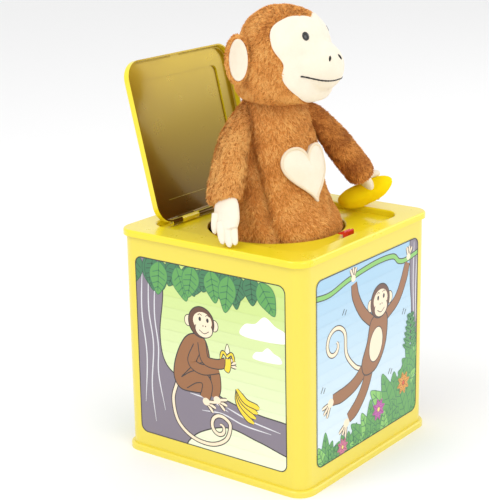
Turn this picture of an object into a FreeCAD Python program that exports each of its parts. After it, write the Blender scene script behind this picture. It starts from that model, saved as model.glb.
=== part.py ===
"""Pop-up monkey toy: a tin box with a hinged lid, a hand crank, a pin drum with its comb,
a latch, and a plush monkey on a coil spring.

Millimetres, +Z up, the front of the box faces -Y, the crank is on +X, the lid hinge is at +Y.
The origin is the centre of the box's underside.  The lid is open and the puppet is up.
"""
import FreeCAD, Part
import os
import Sketcher
from FreeCAD import Placement, Rotation, Vector
from fcgear import fcgear, involute

doc = FreeCAD.newDocument("pop_up_toy")

# ---------------------------------------------------------------- driving dimensions
DIMENSIONS = {
    # tin box
    "box_half_x": 70, "box_half_y": 68, "box_height": 146, "corner_radius": 9, "wall": 1,
    "rim_flare": 2, "rim_height": 4, "base_flare": 2.3, "base_height": 4, "base_floor": 1.5,
    "bead_radius": 56, "bead_width": 8, "bead_depth": 0.7, "seam_lap": 1.5,
    # deck and its hole
    "recess_half_x": 54, "recess_half_y": 58.5, "recess_corner": 12, "recess_depth": 4,
    "deck_sheet": 1, "hole_radius": 43, "hole_lip_drop": 3, "slot_half_x": 4.2,
    "slot_front": 58.3, "slot_back": 51,
    # lid
    "hinge_y": 52, "hinge_z": 144.4, "lid_open_angle": 104, "lid_half_x": 51.5,
    "lid_front": 103, "lid_back": 0.8, "lid_corner": 12, "lid_top": 3.2, "lid_rim_z": -1.9,
    "lid_sheet": 1, "panel_inset": 12, "panel_rise": 1.2, "window_half_x": 4.2,
    "window_low": -0.8, "window_high": 2.2, "knuckle_radius": 2, "wire_radius": 0.9,
    "wire_half_length": 41, "tab_centre": 22.5, "tab_half_width": 7.8, "knuckle_gap": 0.5,
    "hinge_clearance": 0.05,
    # latch
    "rod_y": -55, "rod_z": 128, "rod_radius": 1, "rod_start": -9, "rod_end": 48,
    "hook_half_x": 3.2, "hook_front": -55.6, "hook_back": -51.8, "nose_tip": -48,
    "nose_low": 144, "nose_high": 145.7, "hook_top": 147, "hub_radius": 3,
    "bracket_sheet": 1.2, "latch_bracket_low": 123, "latch_bracket_high": 132,
    "finger_x": 44, "finger_width": 2.2, "finger_length": 38, "finger_slope": 12,
    "finger_half_height": 1.5,
    # crank and music movement
    "crank_y": 0, "crank_z": 84, "shaft_radius": 2, "shaft_start": 41, "arm_x": 79,
    "crank_throw": 36, "crank_bend": 5, "grip_end": 102, "knob_radius": 7, "knob_length": 17,
    "running_clearance": 0.05, "bush_radius": 4.9, "bush_flange": 7.5,
    "gear_module": 0.8, "pinion_teeth": 10, "gear_teeth": 50, "gear_backlash": 0.12,
    "gear_width": 3, "gear_x": 62, "drum_angle": 135, "drum_radius": 7.4, "drum_x": 47,
    "drum_length": 13.5, "axle_radius": 1.5, "cam_radius": 5, "cam_reach": 14,
    "frame_inner_x": 42, "frame_outer_x": 67.8, "frame_low": 62, "frame_high": 112,
    "frame_front": -34, "frame_back": 20, "rivet_radius": 1.5, "rivet_head": 2.7,
    "comb_teeth": 14, "comb_pitch": 0.9, "comb_tooth": 0.6, "comb_thickness": 0.9,
    "comb_length": 12, "comb_base": 8, "pin_radius": 0.35, "pin_height": 0.7,
    # coil spring and sleeve
    "spring_radius": 17, "spring_wire": 1.1, "spring_pitch": 15, "spring_top": 204.5,
    "seat_radius": 34, "seat_sheet": 1.5, "clamp_height": 3, "sleeve_wall": 3,
    "plate_radius": 18, "neck_radius": 5, "neck_top": 218,
    # plush puppet
    "head_x": 1, "head_y": -5.9, "head_turn": 3, "muzzle_x": 2, "muzzle_y": -26.5,
    "muzzle_z": 243.6, "eye_out": 25.6, "eye_spread": 28, "eye_z": 263.2, "ear_out": 34.5,
    "ear_spread": 105, "ear_z": 248, "ear_turn": 35,
}

sheet = doc.addObject("Spreadsheet::Sheet", "dims")
for row, (alias, number) in enumerate(DIMENSIONS.items(), start=1):
    sheet.set(f"A{row}", alias)
    sheet.set(f"B{row}", str(number))
    sheet.setAlias(f"B{row}", alias)
doc.recompute()

AXIS = {"X": Vector(1, 0, 0), "Y": Vector(0, 1, 0), "Z": Vector(0, 0, 1)}
TURN_TO_X = Rotation(AXIS["Y"], 90)
TURN_TO_Y = Rotation(AXIS["X"], -90)
subparts = []


# ---------------------------------------------------------------- small helpers
def expand(expression):
    """Write the aliases of the sheet out in full: $box_height becomes dims.box_height."""
    return str(expression).replace("$", "dims.")


def value(expression):
    """The number an expression has now."""
    return float(sheet.evalExpression(expand(expression)))


def bind(item, **expressions):
    """Tie properties to the sheet."""
    for name, expression in expressions.items():
        item.setExpression(name, expand(expression))


def place(item, x=0, y=0, z=0, rotation=Rotation()):
    """Give an object its rotation and tie its position to the sheet."""
    item.Placement = Placement(Vector(value(x), value(y), value(z)), rotation)
    for name, expression in (("x", x), ("y", y), ("z", z)):
        item.setExpression(f"Placement.Base.{name}", expand(expression))
    return item


def box(name, low, high):
    """A block between two corners given as expressions."""
    item = doc.addObject("Part::Box", name)
    sizes = [f"({top}) - ({bottom})" for bottom, top in zip(low, high)]
    bind(item, Length=sizes[0], Width=sizes[1], Height=sizes[2])
    return place(item, *low)


def cylinder(name, radius, length, x=0, y=0, z=0, along="Z"):
    """A round bar that starts at a point and runs along an axis."""
    item = doc.addObject("Part::Cylinder", name)
    bind(item, Radius=radius, Height=length)
    turn = {"X": TURN_TO_X, "Y": TURN_TO_Y, "Z": Rotation()}[along]
    return place(item, x, y, z, turn)


def ellipsoid(name, radii, centre, rotation=Rotation()):
    """An ellipsoid with its three half-lengths in its own x, y and z."""
    item = doc.addObject("Part::Ellipsoid", name)
    bind(item, Radius2=radii[0], Radius3=radii[1], Radius1=radii[2])
    return place(item, *centre, rotation)


def fuse(name, *items):
    item = doc.addObject("Part::MultiFuse", name)
    item.Shapes = list(items)
    item.Refine = True
    return item


def cut(name, base, *tools):
    """Remove tools from a base."""
    item = doc.addObject("Part::Cut", name)
    item.Base = base
    item.Tool = tools[0] if len(tools) == 1 else fuse(f"{name}_tools", *tools)
    return item


def new_body(name):
    return doc.addObject("PartDesign::Body", name)


def new_sketch(body, name, role, offset="0"):
    """A sketch on one of the body's own planes, moved along the plane's normal."""
    sketch = body.newObject("Sketcher::SketchObject", name)
    plane = [feature for feature in body.Origin.OriginFeatures if feature.Role == role][0]
    sketch.AttachmentSupport = [(plane, "")]
    sketch.MapMode = "FlatFace"
    sketch.AttachmentOffset = Placement(Vector(0, 0, value(offset)), Rotation())
    sketch.setExpression("AttachmentOffset.Base.z", expand(offset))
    return sketch


def datum(sketch, kind, *arguments, expression):
    """A dimension of a sketch, tied to the sheet."""
    index = sketch.addConstraint(Sketcher.Constraint(kind, *arguments, value(expression)))
    sketch.setExpression(f"Constraints[{index}]", expand(expression))


def rounded_rectangle(sketch, half_x, back, front, radius):
    """A rounded rectangle from -half_x to half_x and from -front to back."""
    w, b, f, r = value(half_x), value(back), -value(front), value(radius)
    start = sketch.GeometryCount
    z = Vector(0, 0, 1)
    sketch.addGeometry([
        Part.LineSegment(Vector(-w + r, f, 0), Vector(w - r, f, 0)),
        Part.LineSegment(Vector(w, f + r, 0), Vector(w, b - r, 0)),
        Part.LineSegment(Vector(w - r, b, 0), Vector(-w + r, b, 0)),
        Part.LineSegment(Vector(-w, b - r, 0), Vector(-w, f + r, 0)),
        Part.ArcOfCircle(Part.Circle(Vector(w - r, f + r, 0), z, r), -1.5707963, 0),
        Part.ArcOfCircle(Part.Circle(Vector(w - r, b - r, 0), z, r), 0, 1.5707963),
        Part.ArcOfCircle(Part.Circle(Vector(-w + r, b - r, 0), z, r), 1.5707963, 3.1415927),
        Part.ArcOfCircle(Part.Circle(Vector(-w + r, f + r, 0), z, r), 3.1415927, 4.712389),
    ], False)
    for side in range(4):
        line, arc, following = start + side, start + 4 + side, start + (side + 1) % 4
        sketch.addConstraint(Sketcher.Constraint("Tangent", line, 2, arc, 1))
        sketch.addConstraint(Sketcher.Constraint("Tangent", arc, 2, following, 1))
        sketch.addConstraint(Sketcher.Constraint("Horizontal" if side % 2 == 0 else "Vertical", line))
        if side:
            sketch.addConstraint(Sketcher.Constraint("Equal", start + 4, arc))
    datum(sketch, "Radius", start + 4, expression=radius)
    datum(sketch, "DistanceX", -1, 1, start + 1, 1, expression=half_x)
    datum(sketch, "DistanceX", start + 3, 1, -1, 1, expression=half_x)
    datum(sketch, "DistanceY", -1, 1, start + 2, 1, expression=back)
    datum(sketch, "DistanceY", start, 1, -1, 1, expression=front)


def circle(sketch, radius, x="0", y="0"):
    """A circle with its centre tied to the sheet."""
    index = sketch.addGeometry(Part.Circle(Vector(value(x), value(y), 0), Vector(0, 0, 1), value(radius)))
    datum(sketch, "Radius", index, expression=radius)
    datum(sketch, "DistanceX", -1, 1, index, 3, expression=x)
    datum(sketch, "DistanceY", -1, 1, index, 3, expression=y)


def outline(sketch, points):
    """A closed outline through points whose coordinates are expressions."""
    corners = [Vector(value(x), value(y), 0) for x, y in points]
    start = sketch.GeometryCount
    count = len(corners)
    for index, corner in enumerate(corners):
        sketch.addGeometry(Part.LineSegment(corner, corners[(index + 1) % count]))
    for index, (x, y) in enumerate(points):
        line = start + index
        following = start + (index + 1) % count
        sketch.addConstraint(Sketcher.Constraint("Coincident", line, 2, following, 1))
        datum(sketch, "DistanceX", -1, 1, line, 1, expression=x)
        datum(sketch, "DistanceY", -1, 1, line, 1, expression=y)


def pad(body, name, sketch, length, backwards=False):
    feature = body.newObject("PartDesign::Pad", name)
    feature.Profile = sketch
    bind(feature, Length=length)
    feature.Reversed = backwards
    doc.recompute()
    return feature


def pocket(body, name, sketch, depth, backwards=False):
    """Cut a sketch away, and make sure that the cut removed material."""
    before = body.Shape.Volume
    feature = body.newObject("PartDesign::Pocket", name)
    feature.Profile = sketch
    bind(feature, Length=depth)
    feature.Reversed = backwards
    doc.recompute()
    if body.Shape.Volume > before - 0.01:
        raise RuntimeError(f"{name} removed nothing")
    return feature


def revolve(body, name, sketch, axis="V_Axis"):
    feature = body.newObject("PartDesign::Revolution", name)
    feature.Profile = sketch
    feature.ReferenceAxis = (sketch, [axis])
    feature.Angle = 360
    doc.recompute()
    return feature


def fillet(body, name, radius, chosen):
    """Round the edges of the body's tip that the test picks out."""
    tip = body.Tip
    edges = [f"Edge{number}" for number, edge in enumerate(tip.Shape.Edges, start=1) if chosen(edge)]
    feature = body.newObject("PartDesign::Fillet", name)
    feature.Base = (tip, edges)
    bind(feature, Radius=radius)
    doc.recompute()
    return feature


def level(height, reach=None):
    """A test for edges that lie flat at a height, optionally only those inside a reach."""
    def chosen(edge):
        bounds = edge.BoundBox
        flat = abs(bounds.ZMin - height) < 0.01 and abs(bounds.ZMax - height) < 0.01
        return flat and (reach is None or reach(bounds))
    return chosen


def subpart(item, label):
    """Name a finished piece; its file takes the same name."""
    item.Label = label
    subparts.append(item)
    return item


# ---------------------------------------------------------------- tin box
def make_body_shell():
    """Rolled side wall, with a hole for the crank bush and four rivet holes."""
    body = new_body("shell_body")
    outer = new_sketch(body, "shell_outer", "XY_Plane", "$base_floor")
    rounded_rectangle(outer, "$box_half_x", "$box_half_y", "$box_half_y", "$corner_radius")
    pad(body, "shell_pad", outer, "$box_height - $seam_lap - $base_floor")
    inner = new_sketch(body, "shell_inner", "XY_Plane", "$base_floor")
    rounded_rectangle(inner, "$box_half_x - $wall", "$box_half_y - $wall", "$box_half_y - $wall",
                      "$corner_radius - $wall")
    pocket(body, "shell_hollow", inner, "$box_height", True)
    holes = new_sketch(body, "shell_holes", "YZ_Plane", "$box_half_x - 2 * $wall")
    circle(holes, "$bush_radius", "$crank_y", "$crank_z")
    for y, z in rivet_places():
        circle(holes, "$rivet_radius", y, z)
    pocket(body, "shell_hole_cut", holes, "3 * $wall", True)
    subpart(body, "body_shell")


def rivet_places():
    """The four rivets that hold the movement's frame to the side wall."""
    return [(y, z) for y in ("$frame_front + 4", "$frame_back - 4")
            for z in ("$frame_low + 5", "$frame_high - 4")]


def make_base_plate():
    """Crimped base pan: the wall stands in it, and its rim carries the box."""
    body = new_body("base_body")
    outer = new_sketch(body, "base_outer", "XY_Plane")
    reach_x, reach_y = "$box_half_x + $base_flare", "$box_half_y + $base_flare"
    rounded_rectangle(outer, reach_x, reach_y, reach_y, "$corner_radius + $base_flare")
    pad(body, "base_pad", outer, "$base_height")
    inner = new_sketch(body, "base_inner", "XY_Plane", "$base_floor")
    rounded_rectangle(inner, "$box_half_x", "$box_half_y", "$box_half_y", "$corner_radius")
    pocket(body, "base_tray", inner, "$base_height", True)
    under = new_sketch(body, "base_under", "XY_Plane")
    circle(under, "$bead_radius")
    circle(under, "$bead_radius - $bead_width")
    pocket(body, "base_bead_cut", under, "$bead_depth", True)
    top, wall_x, wall_y = value("$base_height"), value("$box_half_x") + 1, value("$box_half_y") + 1
    fillet(body, "base_round", "1.4",
           level(top, lambda b: max(b.XMax, -b.XMin) > wall_x or max(b.YMax, -b.YMin) > wall_y))
    subpart(body, "base_plate")


def make_top_deck():
    """Pressed deck: a rim over the wall, a soft-cornered recess, and a round hole."""
    body = new_body("deck_body")
    under = "$box_height - $recess_depth - $deck_sheet"
    rim = new_sketch(body, "deck_rim", "XY_Plane", "$box_height - $rim_height")
    reach_x, reach_y = "$box_half_x + $rim_flare", "$box_half_y + $rim_flare"
    rounded_rectangle(rim, reach_x, reach_y, reach_y, "$corner_radius + $rim_flare")
    pad(body, "deck_rim_pad", rim, "$rim_height")
    pan = new_sketch(body, "deck_pan", "XY_Plane", under)
    rounded_rectangle(pan, "$recess_half_x + 1.2", "$recess_half_y + 1.2", "$recess_half_y + 1.2",
                      "$recess_corner + 1.2")
    pad(body, "deck_pan_pad", pan, "$deck_sheet + 0.5")
    groove = new_sketch(body, "deck_groove", "XY_Plane", under)
    rounded_rectangle(groove, "$box_half_x", "$box_half_y", "$box_half_y", "$corner_radius")
    rounded_rectangle(groove, "$recess_half_x + 1.2", "$recess_half_y + 1.2", "$recess_half_y + 1.2",
                      "$recess_corner + 1.2")
    pocket(body, "deck_groove_cut", groove, "$recess_depth + $deck_sheet - $seam_lap", True)
    recess = new_sketch(body, "deck_recess", "XY_Plane", "$box_height")
    rounded_rectangle(recess, "$recess_half_x", "$recess_half_y", "$recess_half_y", "$recess_corner")
    pocket(body, "deck_recess_cut", recess, "$recess_depth")
    lip = new_sketch(body, "deck_lip", "XY_Plane", under)
    circle(lip, "$hole_radius + 1.2")
    pad(body, "deck_lip_pad", lip, "$hole_lip_drop", True)
    hole = new_sketch(body, "deck_hole", "XY_Plane", "$box_height")
    circle(hole, "$hole_radius")
    pocket(body, "deck_hole_cut", hole, "2 * $rim_height + $hole_lip_drop")
    slot = new_sketch(body, "deck_slot", "XY_Plane", "$box_height - $recess_depth")
    outline(slot, [("-$slot_half_x", "-$slot_front"), ("$slot_half_x", "-$slot_front"),
                   ("$slot_half_x", "-$slot_back"), ("-$slot_half_x", "-$slot_back")])
    pocket(body, "deck_slot_cut", slot, "2 * $deck_sheet")
    top = value("$box_height")
    floor = value("$box_height - $recess_depth")
    wide = value("$recess_half_y") + 1
    fillet(body, "deck_outer_round", "1.4",
           level(top, lambda b: max(b.XMax, -b.XMin, b.YMax, -b.YMin) > wide + 3))
    fillet(body, "deck_recess_round", "1.3",
           level(top, lambda b: max(b.XMax, -b.XMin, b.YMax, -b.YMin) < wide))
    fillet(body, "deck_hole_round", "0.8",
           lambda edge: level(floor)(edge) and edge.Curve.TypeId == "Part::GeomCircle"
           and abs(edge.Curve.Radius - value("$hole_radius")) < 0.01)
    tabs = []
    for side, name in ((-1, "left"), (1, "right")):
        low_x = f"{side} * $tab_centre - $tab_half_width"
        curl = cylinder(f"tab_curl_{name}", "$knuckle_radius", "2 * $tab_half_width",
                        low_x, "$hinge_y", "$hinge_z", "X")
        foot = box(f"tab_foot_{name}", (low_x, "$hinge_y", "$box_height - $recess_depth - 0.2"),
                   (f"{side} * $tab_centre + $tab_half_width", "$hinge_y + $knuckle_radius", "$hinge_z"))
        tabs += [curl, foot]
    bore = cylinder("tab_bore", "$wire_radius", "4 * $tab_centre", "-2 * $tab_centre",
                    "$hinge_y", "$hinge_z", "X")
    subpart(cut("deck_finished", fuse("deck_with_tabs", body, *tabs), bore), "top_deck")


def make_hinge_wire():
    subpart(cylinder("wire", "$wire_radius", "2 * $wire_half_length", "-$wire_half_length",
                     "$hinge_y", "$hinge_z", "X"), "hinge_wire")


# ---------------------------------------------------------------- lid
def make_lid():
    """Shallow tray with a raised panel, a catch window in its front flange and rolled
    hinge knuckles.  It is drawn closed about its hinge axis, then swung open."""
    body = new_body("lid_body")
    tray = new_sketch(body, "lid_tray", "XY_Plane", "$lid_rim_z")
    rounded_rectangle(tray, "$lid_half_x", "-$lid_back", "$lid_front", "$lid_corner")
    pad(body, "lid_pad", tray, "$lid_top - $lid_rim_z")
    panel = new_sketch(body, "lid_panel", "XY_Plane", "$lid_top")
    inset = "$lid_half_x - $panel_inset"
    rounded_rectangle(panel, inset, "-$lid_back - $panel_inset", "$lid_front - $panel_inset", "5")
    pad(body, "lid_panel_pad", panel, "$panel_rise")
    hollow = new_sketch(body, "lid_hollow", "XY_Plane", "$lid_rim_z")
    rounded_rectangle(hollow, "$lid_half_x - $lid_sheet", "-$lid_back - $lid_sheet",
                      "$lid_front - $lid_sheet", "$lid_corner - $lid_sheet")
    pocket(body, "lid_hollow_cut", hollow, "$lid_top - $lid_rim_z - $lid_sheet", True)
    dish = new_sketch(body, "lid_dish", "XY_Plane", "$lid_top - $lid_sheet")
    rounded_rectangle(dish, f"{inset} - $lid_sheet", "-$lid_back - $panel_inset - $lid_sheet",
                      "$lid_front - $panel_inset - $lid_sheet", "4")
    pocket(body, "lid_dish_cut", dish, "$panel_rise", True)
    under = value("$lid_top - $lid_sheet")
    fillet(body, "lid_inner_round", "1.2",
           level(under, lambda b: max(b.XMax, -b.XMin) > value("$lid_half_x") - 8 or b.YMax > -8
                 or b.YMin < -value("$lid_front") + 8))
    top = value("$lid_top")
    fillet(body, "lid_outer_round", "1.8",
           level(top, lambda b: max(b.XMax, -b.XMin) > value("$lid_half_x") - 8 or b.YMax > -8
                 or b.YMin < -value("$lid_front") + 8))
    fillet(body, "lid_panel_round", "0.8",
           level(value("$lid_top + $panel_rise")))
    window = box("lid_window", ("-$window_half_x", "-$lid_front - 1", "$window_low"),
                 ("$window_half_x", "-$lid_front + $lid_sheet + 1.4", "$window_high"))
    knuckles = []
    gap = "($tab_half_width + $knuckle_gap)"
    spans = [("-$wire_half_length + 1", f"-$tab_centre - {gap}"),
             (f"-$tab_centre + {gap}", f"$tab_centre - {gap}"),
             (f"$tab_centre + {gap}", "$wire_half_length - 1")]
    for number, (low, high) in enumerate(spans, start=1):
        knuckles.append(cylinder(f"knuckle_{number}", "$knuckle_radius", f"({high}) - ({low})",
                                 low, 0, 0, "X"))
    tools = [window, cylinder("lid_wire_bore", "$wire_radius + $hinge_clearance",
                              "2 * $lid_half_x", "-$lid_half_x", 0, 0, "X")]
    for side in (-1, 1):
        tools.append(box(f"knuckle_notch_{side + 1}",
                         (f"{side} * $tab_centre - {gap}", "-$knuckle_radius - 0.6", "$lid_rim_z - 1"),
                         (f"{side} * $tab_centre + {gap}", "$knuckle_radius + 1", "$lid_top - 0.6")))
    lid = cut("lid_finished", fuse("lid_with_knuckles", body, *knuckles), *tools)
    place(lid, 0, "$hinge_y", "$hinge_z", Rotation(Vector(-1, 0, 0), value("$lid_open_angle")))
    bind(lid, **{"Placement.Rotation.Angle": "$lid_open_angle"})
    subpart(lid, "lid")


# ---------------------------------------------------------------- latch
def make_latch():
    """Red hook on a long rod, with a finger at the rod's far end over the drum's cam."""
    subpart(cylinder("rod", "$rod_radius", "$rod_end - $rod_start", "$rod_start", "$rod_y",
                     "$rod_z", "X"), "latch_rod")
    body = new_body("hook_body")
    side = new_sketch(body, "hook_side", "YZ_Plane", "-$hook_half_x")
    outline(side, [("$rod_y - 2", "$rod_z"), ("$rod_y + 2", "$rod_z"),
                   ("$hook_back", "$nose_low - 4"), ("$hook_back", "$nose_low"),
                   ("$nose_tip", "$nose_low"), ("$nose_tip - 0.3", "$nose_low + 0.6"),
                   ("$hook_back", "$nose_high"), ("$hook_back - 0.7", "$hook_top - 0.4"),
                   ("$hook_back - 1.6", "$hook_top - 1.6"), ("$hook_front + 0.9", "$hook_top"),
                   ("$hook_front", "$hook_top - 0.5"), ("$hook_front", "$nose_low - 4")])
    pad(body, "hook_pad", side, "2 * $hook_half_x")
    hub = cylinder("hook_hub", "$hub_radius", "2 * $hook_half_x", "-$hook_half_x", "$rod_y",
                   "$rod_z", "X")
    bore = cylinder("hook_bore", "$rod_radius", "4 * $hook_half_x", "-2 * $hook_half_x", "$rod_y",
                    "$rod_z", "X")
    subpart(cut("hook_finished", fuse("hook_with_hub", body, hub), bore), "latch_hook")
    finger_hub = cylinder("finger_hub", "2.6", "$finger_width", "$finger_x", "$rod_y", "$rod_z", "X")
    slope = Rotation(AXIS["X"], -value("$finger_slope"))
    bar = doc.addObject("Part::Box", "finger_bar")
    bind(bar, Length="$finger_width", Width="$finger_length", Height="2 * $finger_half_height")
    place(bar, "$finger_x", "$rod_y", "$rod_z - $finger_half_height", slope)
    finger_bore = cylinder("finger_bore", "$rod_radius", "3 * $finger_width",
                           "$finger_x - $finger_width", "$rod_y", "$rod_z", "X")
    subpart(cut("finger_finished", fuse("finger_joined", finger_hub, bar), finger_bore), "trip_finger")
    for number, x in enumerate(("-7.4", "30"), start=1):
        plate = box(f"latch_plate_{number}", (x, "-$box_half_y + $wall", "$latch_bracket_low"),
                    (f"{x} + $bracket_sheet", "$rod_y + 3", "$latch_bracket_high"))
        foot = box(f"latch_foot_{number}", (x, "-$box_half_y + $wall", "$latch_bracket_low"),
                   (f"{x} + 8", "-$box_half_y + $wall + $bracket_sheet", "$latch_bracket_high"))
        hole = cylinder(f"latch_plate_hole_{number}", "$rod_radius + $running_clearance", "20",
                        f"{x} - 5", "$rod_y", "$rod_z", "X")
        subpart(cut(f"latch_plate_cut_{number}", fuse(f"latch_plate_joined_{number}", plate, foot),
                    hole), f"latch_bracket_{number}")
    coil = doc.addObject("Part::Helix", "latch_coil_line")
    bind(coil, Radius="2.2", Pitch="1.1", Height="5.5")
    place(coil, "9", "$rod_y", "$rod_z", TURN_TO_X)
    section = doc.addObject("Part::Circle", "latch_coil_section")
    bind(section, Radius="0.35")
    place(section, "9", "$rod_y", "$rod_z - 2.2", Rotation(AXIS["X"], 90))
    sweep = doc.addObject("Part::Sweep", "latch_coil")
    sweep.Sections = [section]
    sweep.Spine = (coil, ["Edge1"])
    sweep.Solid = True
    sweep.Frenet = True
    subpart(sweep, "latch_spring")


# ---------------------------------------------------------------- crank and music movement
def drum_place():
    """The drum's axis as two expressions, one gear centre distance from the crank's."""
    distance = "($gear_module * ($pinion_teeth + $gear_teeth) / 2 + $gear_backlash)"
    return (f"$crank_y + {distance} * cos($drum_angle * 1 deg)",
            f"$crank_z + {distance} * sin($drum_angle * 1 deg)")


def gear_blank(name, teeth, pointing):
    """A spur gear about X with a tooth pointing the given way in the YZ plane, in degrees."""
    wire = fcgear.FCWireBuilder()
    involute.CreateExternalGear(wire, value("$gear_module"), int(value(teeth)), 20, True)
    profile = doc.addObject("Part::Feature", f"{name}_outline")
    profile.Shape = Part.Wire([edge.toShape() for edge in wire.wire])
    extrusion = doc.addObject("Part::Extrusion", f"{name}_extrusion")
    extrusion.Base = profile
    extrusion.DirMode = "Custom"
    extrusion.Dir = AXIS["Z"]
    extrusion.Solid = True
    bind(extrusion, LengthFwd="$gear_width")
    return extrusion, TURN_TO_X.multiply(Rotation(AXIS["Z"], pointing + 90))


def make_movement_frame():
    """U-shaped sheet frame riveted inside the side wall."""
    body = new_body("frame_body")
    end = new_sketch(body, "frame_end", "XZ_Plane", "-$frame_back")
    inner, outer, sheet_size = "$frame_inner_x", "$frame_outer_x", "$bracket_sheet"
    outline(end, [(inner, "$frame_low"), (f"{outer} + {sheet_size}", "$frame_low"),
                  (f"{outer} + {sheet_size}", "$frame_high"), (outer, "$frame_high"),
                  (outer, f"$frame_low + {sheet_size}"), (f"{inner} + {sheet_size}", f"$frame_low + {sheet_size}"),
                  (f"{inner} + {sheet_size}", "$frame_high"), (inner, "$frame_high")])
    pad(body, "frame_pad", end, "$frame_back - $frame_front")
    drum_y, drum_z = drum_place()
    holes = [cylinder("frame_shaft_hole", "$shaft_radius + $running_clearance", "40",
                      "$frame_inner_x - 5", "$crank_y", "$crank_z", "X"),
             cylinder("frame_axle_hole", "$axle_radius + $running_clearance", "40",
                      "$frame_inner_x - 5", drum_y, drum_z, "X"),
             cylinder("frame_bush_hole", "$bush_radius", "5", "$frame_outer_x - 1", "$crank_y",
                      "$crank_z", "X")]
    rivets = []
    for number, (y, z) in enumerate(rivet_places(), start=1):
        holes.append(cylinder(f"frame_rivet_hole_{number}", "$rivet_radius", "6",
                              "$frame_outer_x - 2", y, z, "X"))
        shank = cylinder(f"rivet_shank_{number}", "$rivet_radius",
                         "$box_half_x - $frame_outer_x + 0.8", "$frame_outer_x - 0.4", y, z, "X")
        inside = cylinder(f"rivet_inside_{number}", "$rivet_head", "0.8", "$frame_outer_x - 0.8",
                          y, z, "X")
        outside = doc.addObject("Part::Cone", f"rivet_outside_{number}")
        bind(outside, Radius1="$rivet_head", Radius2="$rivet_head - 1", Height="1")
        place(outside, "$box_half_x", y, z, TURN_TO_X)
        rivets += [fuse(f"rivet_{number}", shank, inside, outside)]
    subpart(cut("frame_finished", body, *holes), "movement_frame")
    group = doc.addObject("Part::Compound", "rivet_group")
    group.Links = rivets
    subpart(group, "frame_rivets")


def make_crank():
    """Bush, bent steel crank, turned knob, retaining rings and pinion."""
    reach = "$box_half_x - $frame_outer_x"
    barrel = cylinder("bush_barrel", "$bush_radius", reach, "$frame_outer_x", "$crank_y",
                      "$crank_z", "X")
    flange = cylinder("bush_flange", "$bush_flange", "1.6", "$box_half_x", "$crank_y", "$crank_z", "X")
    bore = cylinder("bush_bore", "$shaft_radius + $running_clearance", "20", "$frame_outer_x - 5",
                    "$crank_y", "$crank_z", "X")
    subpart(cut("bush_cut", fuse("bush_joined", barrel, flange), bore), "crank_bush")

    inner_end, low = "$arm_x - $crank_bend", "$crank_z - $crank_throw"
    shaft = cylinder("crank_shaft_bar", "$shaft_radius", f"{inner_end} - $shaft_start",
                     "$shaft_start", "$crank_y", "$crank_z", "X")
    web = cylinder("crank_web", "$shaft_radius", "$crank_throw - 2 * $crank_bend", "$arm_x",
                   "$crank_y", f"{low} + $crank_bend")
    grip = cylinder("crank_grip", "$shaft_radius", "$grip_end - $arm_x - $crank_bend",
                    "$arm_x + $crank_bend", "$crank_y", low, "X")
    bends = []
    for name, x, z, spin in (("upper", inner_end, "$crank_z - $crank_bend", 0),
                             ("lower", "$arm_x + $crank_bend", f"{low} + $crank_bend", 180)):
        bend = doc.addObject("Part::Torus", f"crank_bend_{name}")
        bind(bend, Radius1="$crank_bend", Radius2="$shaft_radius")
        bend.Angle3 = 90
        place(bend, x, "$crank_y", z, Rotation(AXIS["Y"], spin).multiply(Rotation(AXIS["X"], 90)))
        bends.append(bend)
    subpart(fuse("crank_rod_joined", shaft, web, grip, *bends), "crank_rod")

    body = new_body("knob_body")
    half = new_sketch(body, "knob_half", "XY_Plane")
    outline(half, [("0", "$shaft_radius + $running_clearance"), ("0", "$knob_radius - 1.6"),
                   ("1.2", "$knob_radius - 0.6"), ("$knob_length * 0.45", "$knob_radius"),
                   ("$knob_length * 0.8", "$knob_radius - 0.5"), ("$knob_length - 0.8", "$knob_radius - 2"),
                   ("$knob_length", "$knob_radius - 3.2"),
                   ("$knob_length", "$shaft_radius + $running_clearance")])
    revolve(body, "knob_revolution", half, "H_Axis")
    place(body, "$arm_x + $crank_bend + 1", "$crank_y", low)
    subpart(body, "crank_knob")
    for name, x, radius, z in (("knob_ring", "$arm_x + $crank_bend + $knob_length + 0.6 + 1", "3.6", low),
                               ("shaft_ring", "$frame_outer_x - 2", "4", "$crank_z")):
        ring = cylinder(f"{name}_disc", radius, "1", x, "$crank_y", z, "X")
        hole = cylinder(f"{name}_hole", "$shaft_radius", "3", f"{x} - 1", "$crank_y", z, "X")
        subpart(cut(f"{name}_cut", ring, hole), name)

    drum_y, drum_z = drum_place()
    blank, turn = gear_blank("pinion", "$pinion_teeth", value("$drum_angle") + 180 / value("$pinion_teeth"))
    hole = cylinder("pinion_hole", "$shaft_radius", "3 * $gear_width", 0, 0, "-$gear_width")
    pinion = cut("pinion_cut", blank, hole)
    place(pinion, "$gear_x", "$crank_y", "$crank_z", turn)
    subpart(pinion, "pinion")


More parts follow.
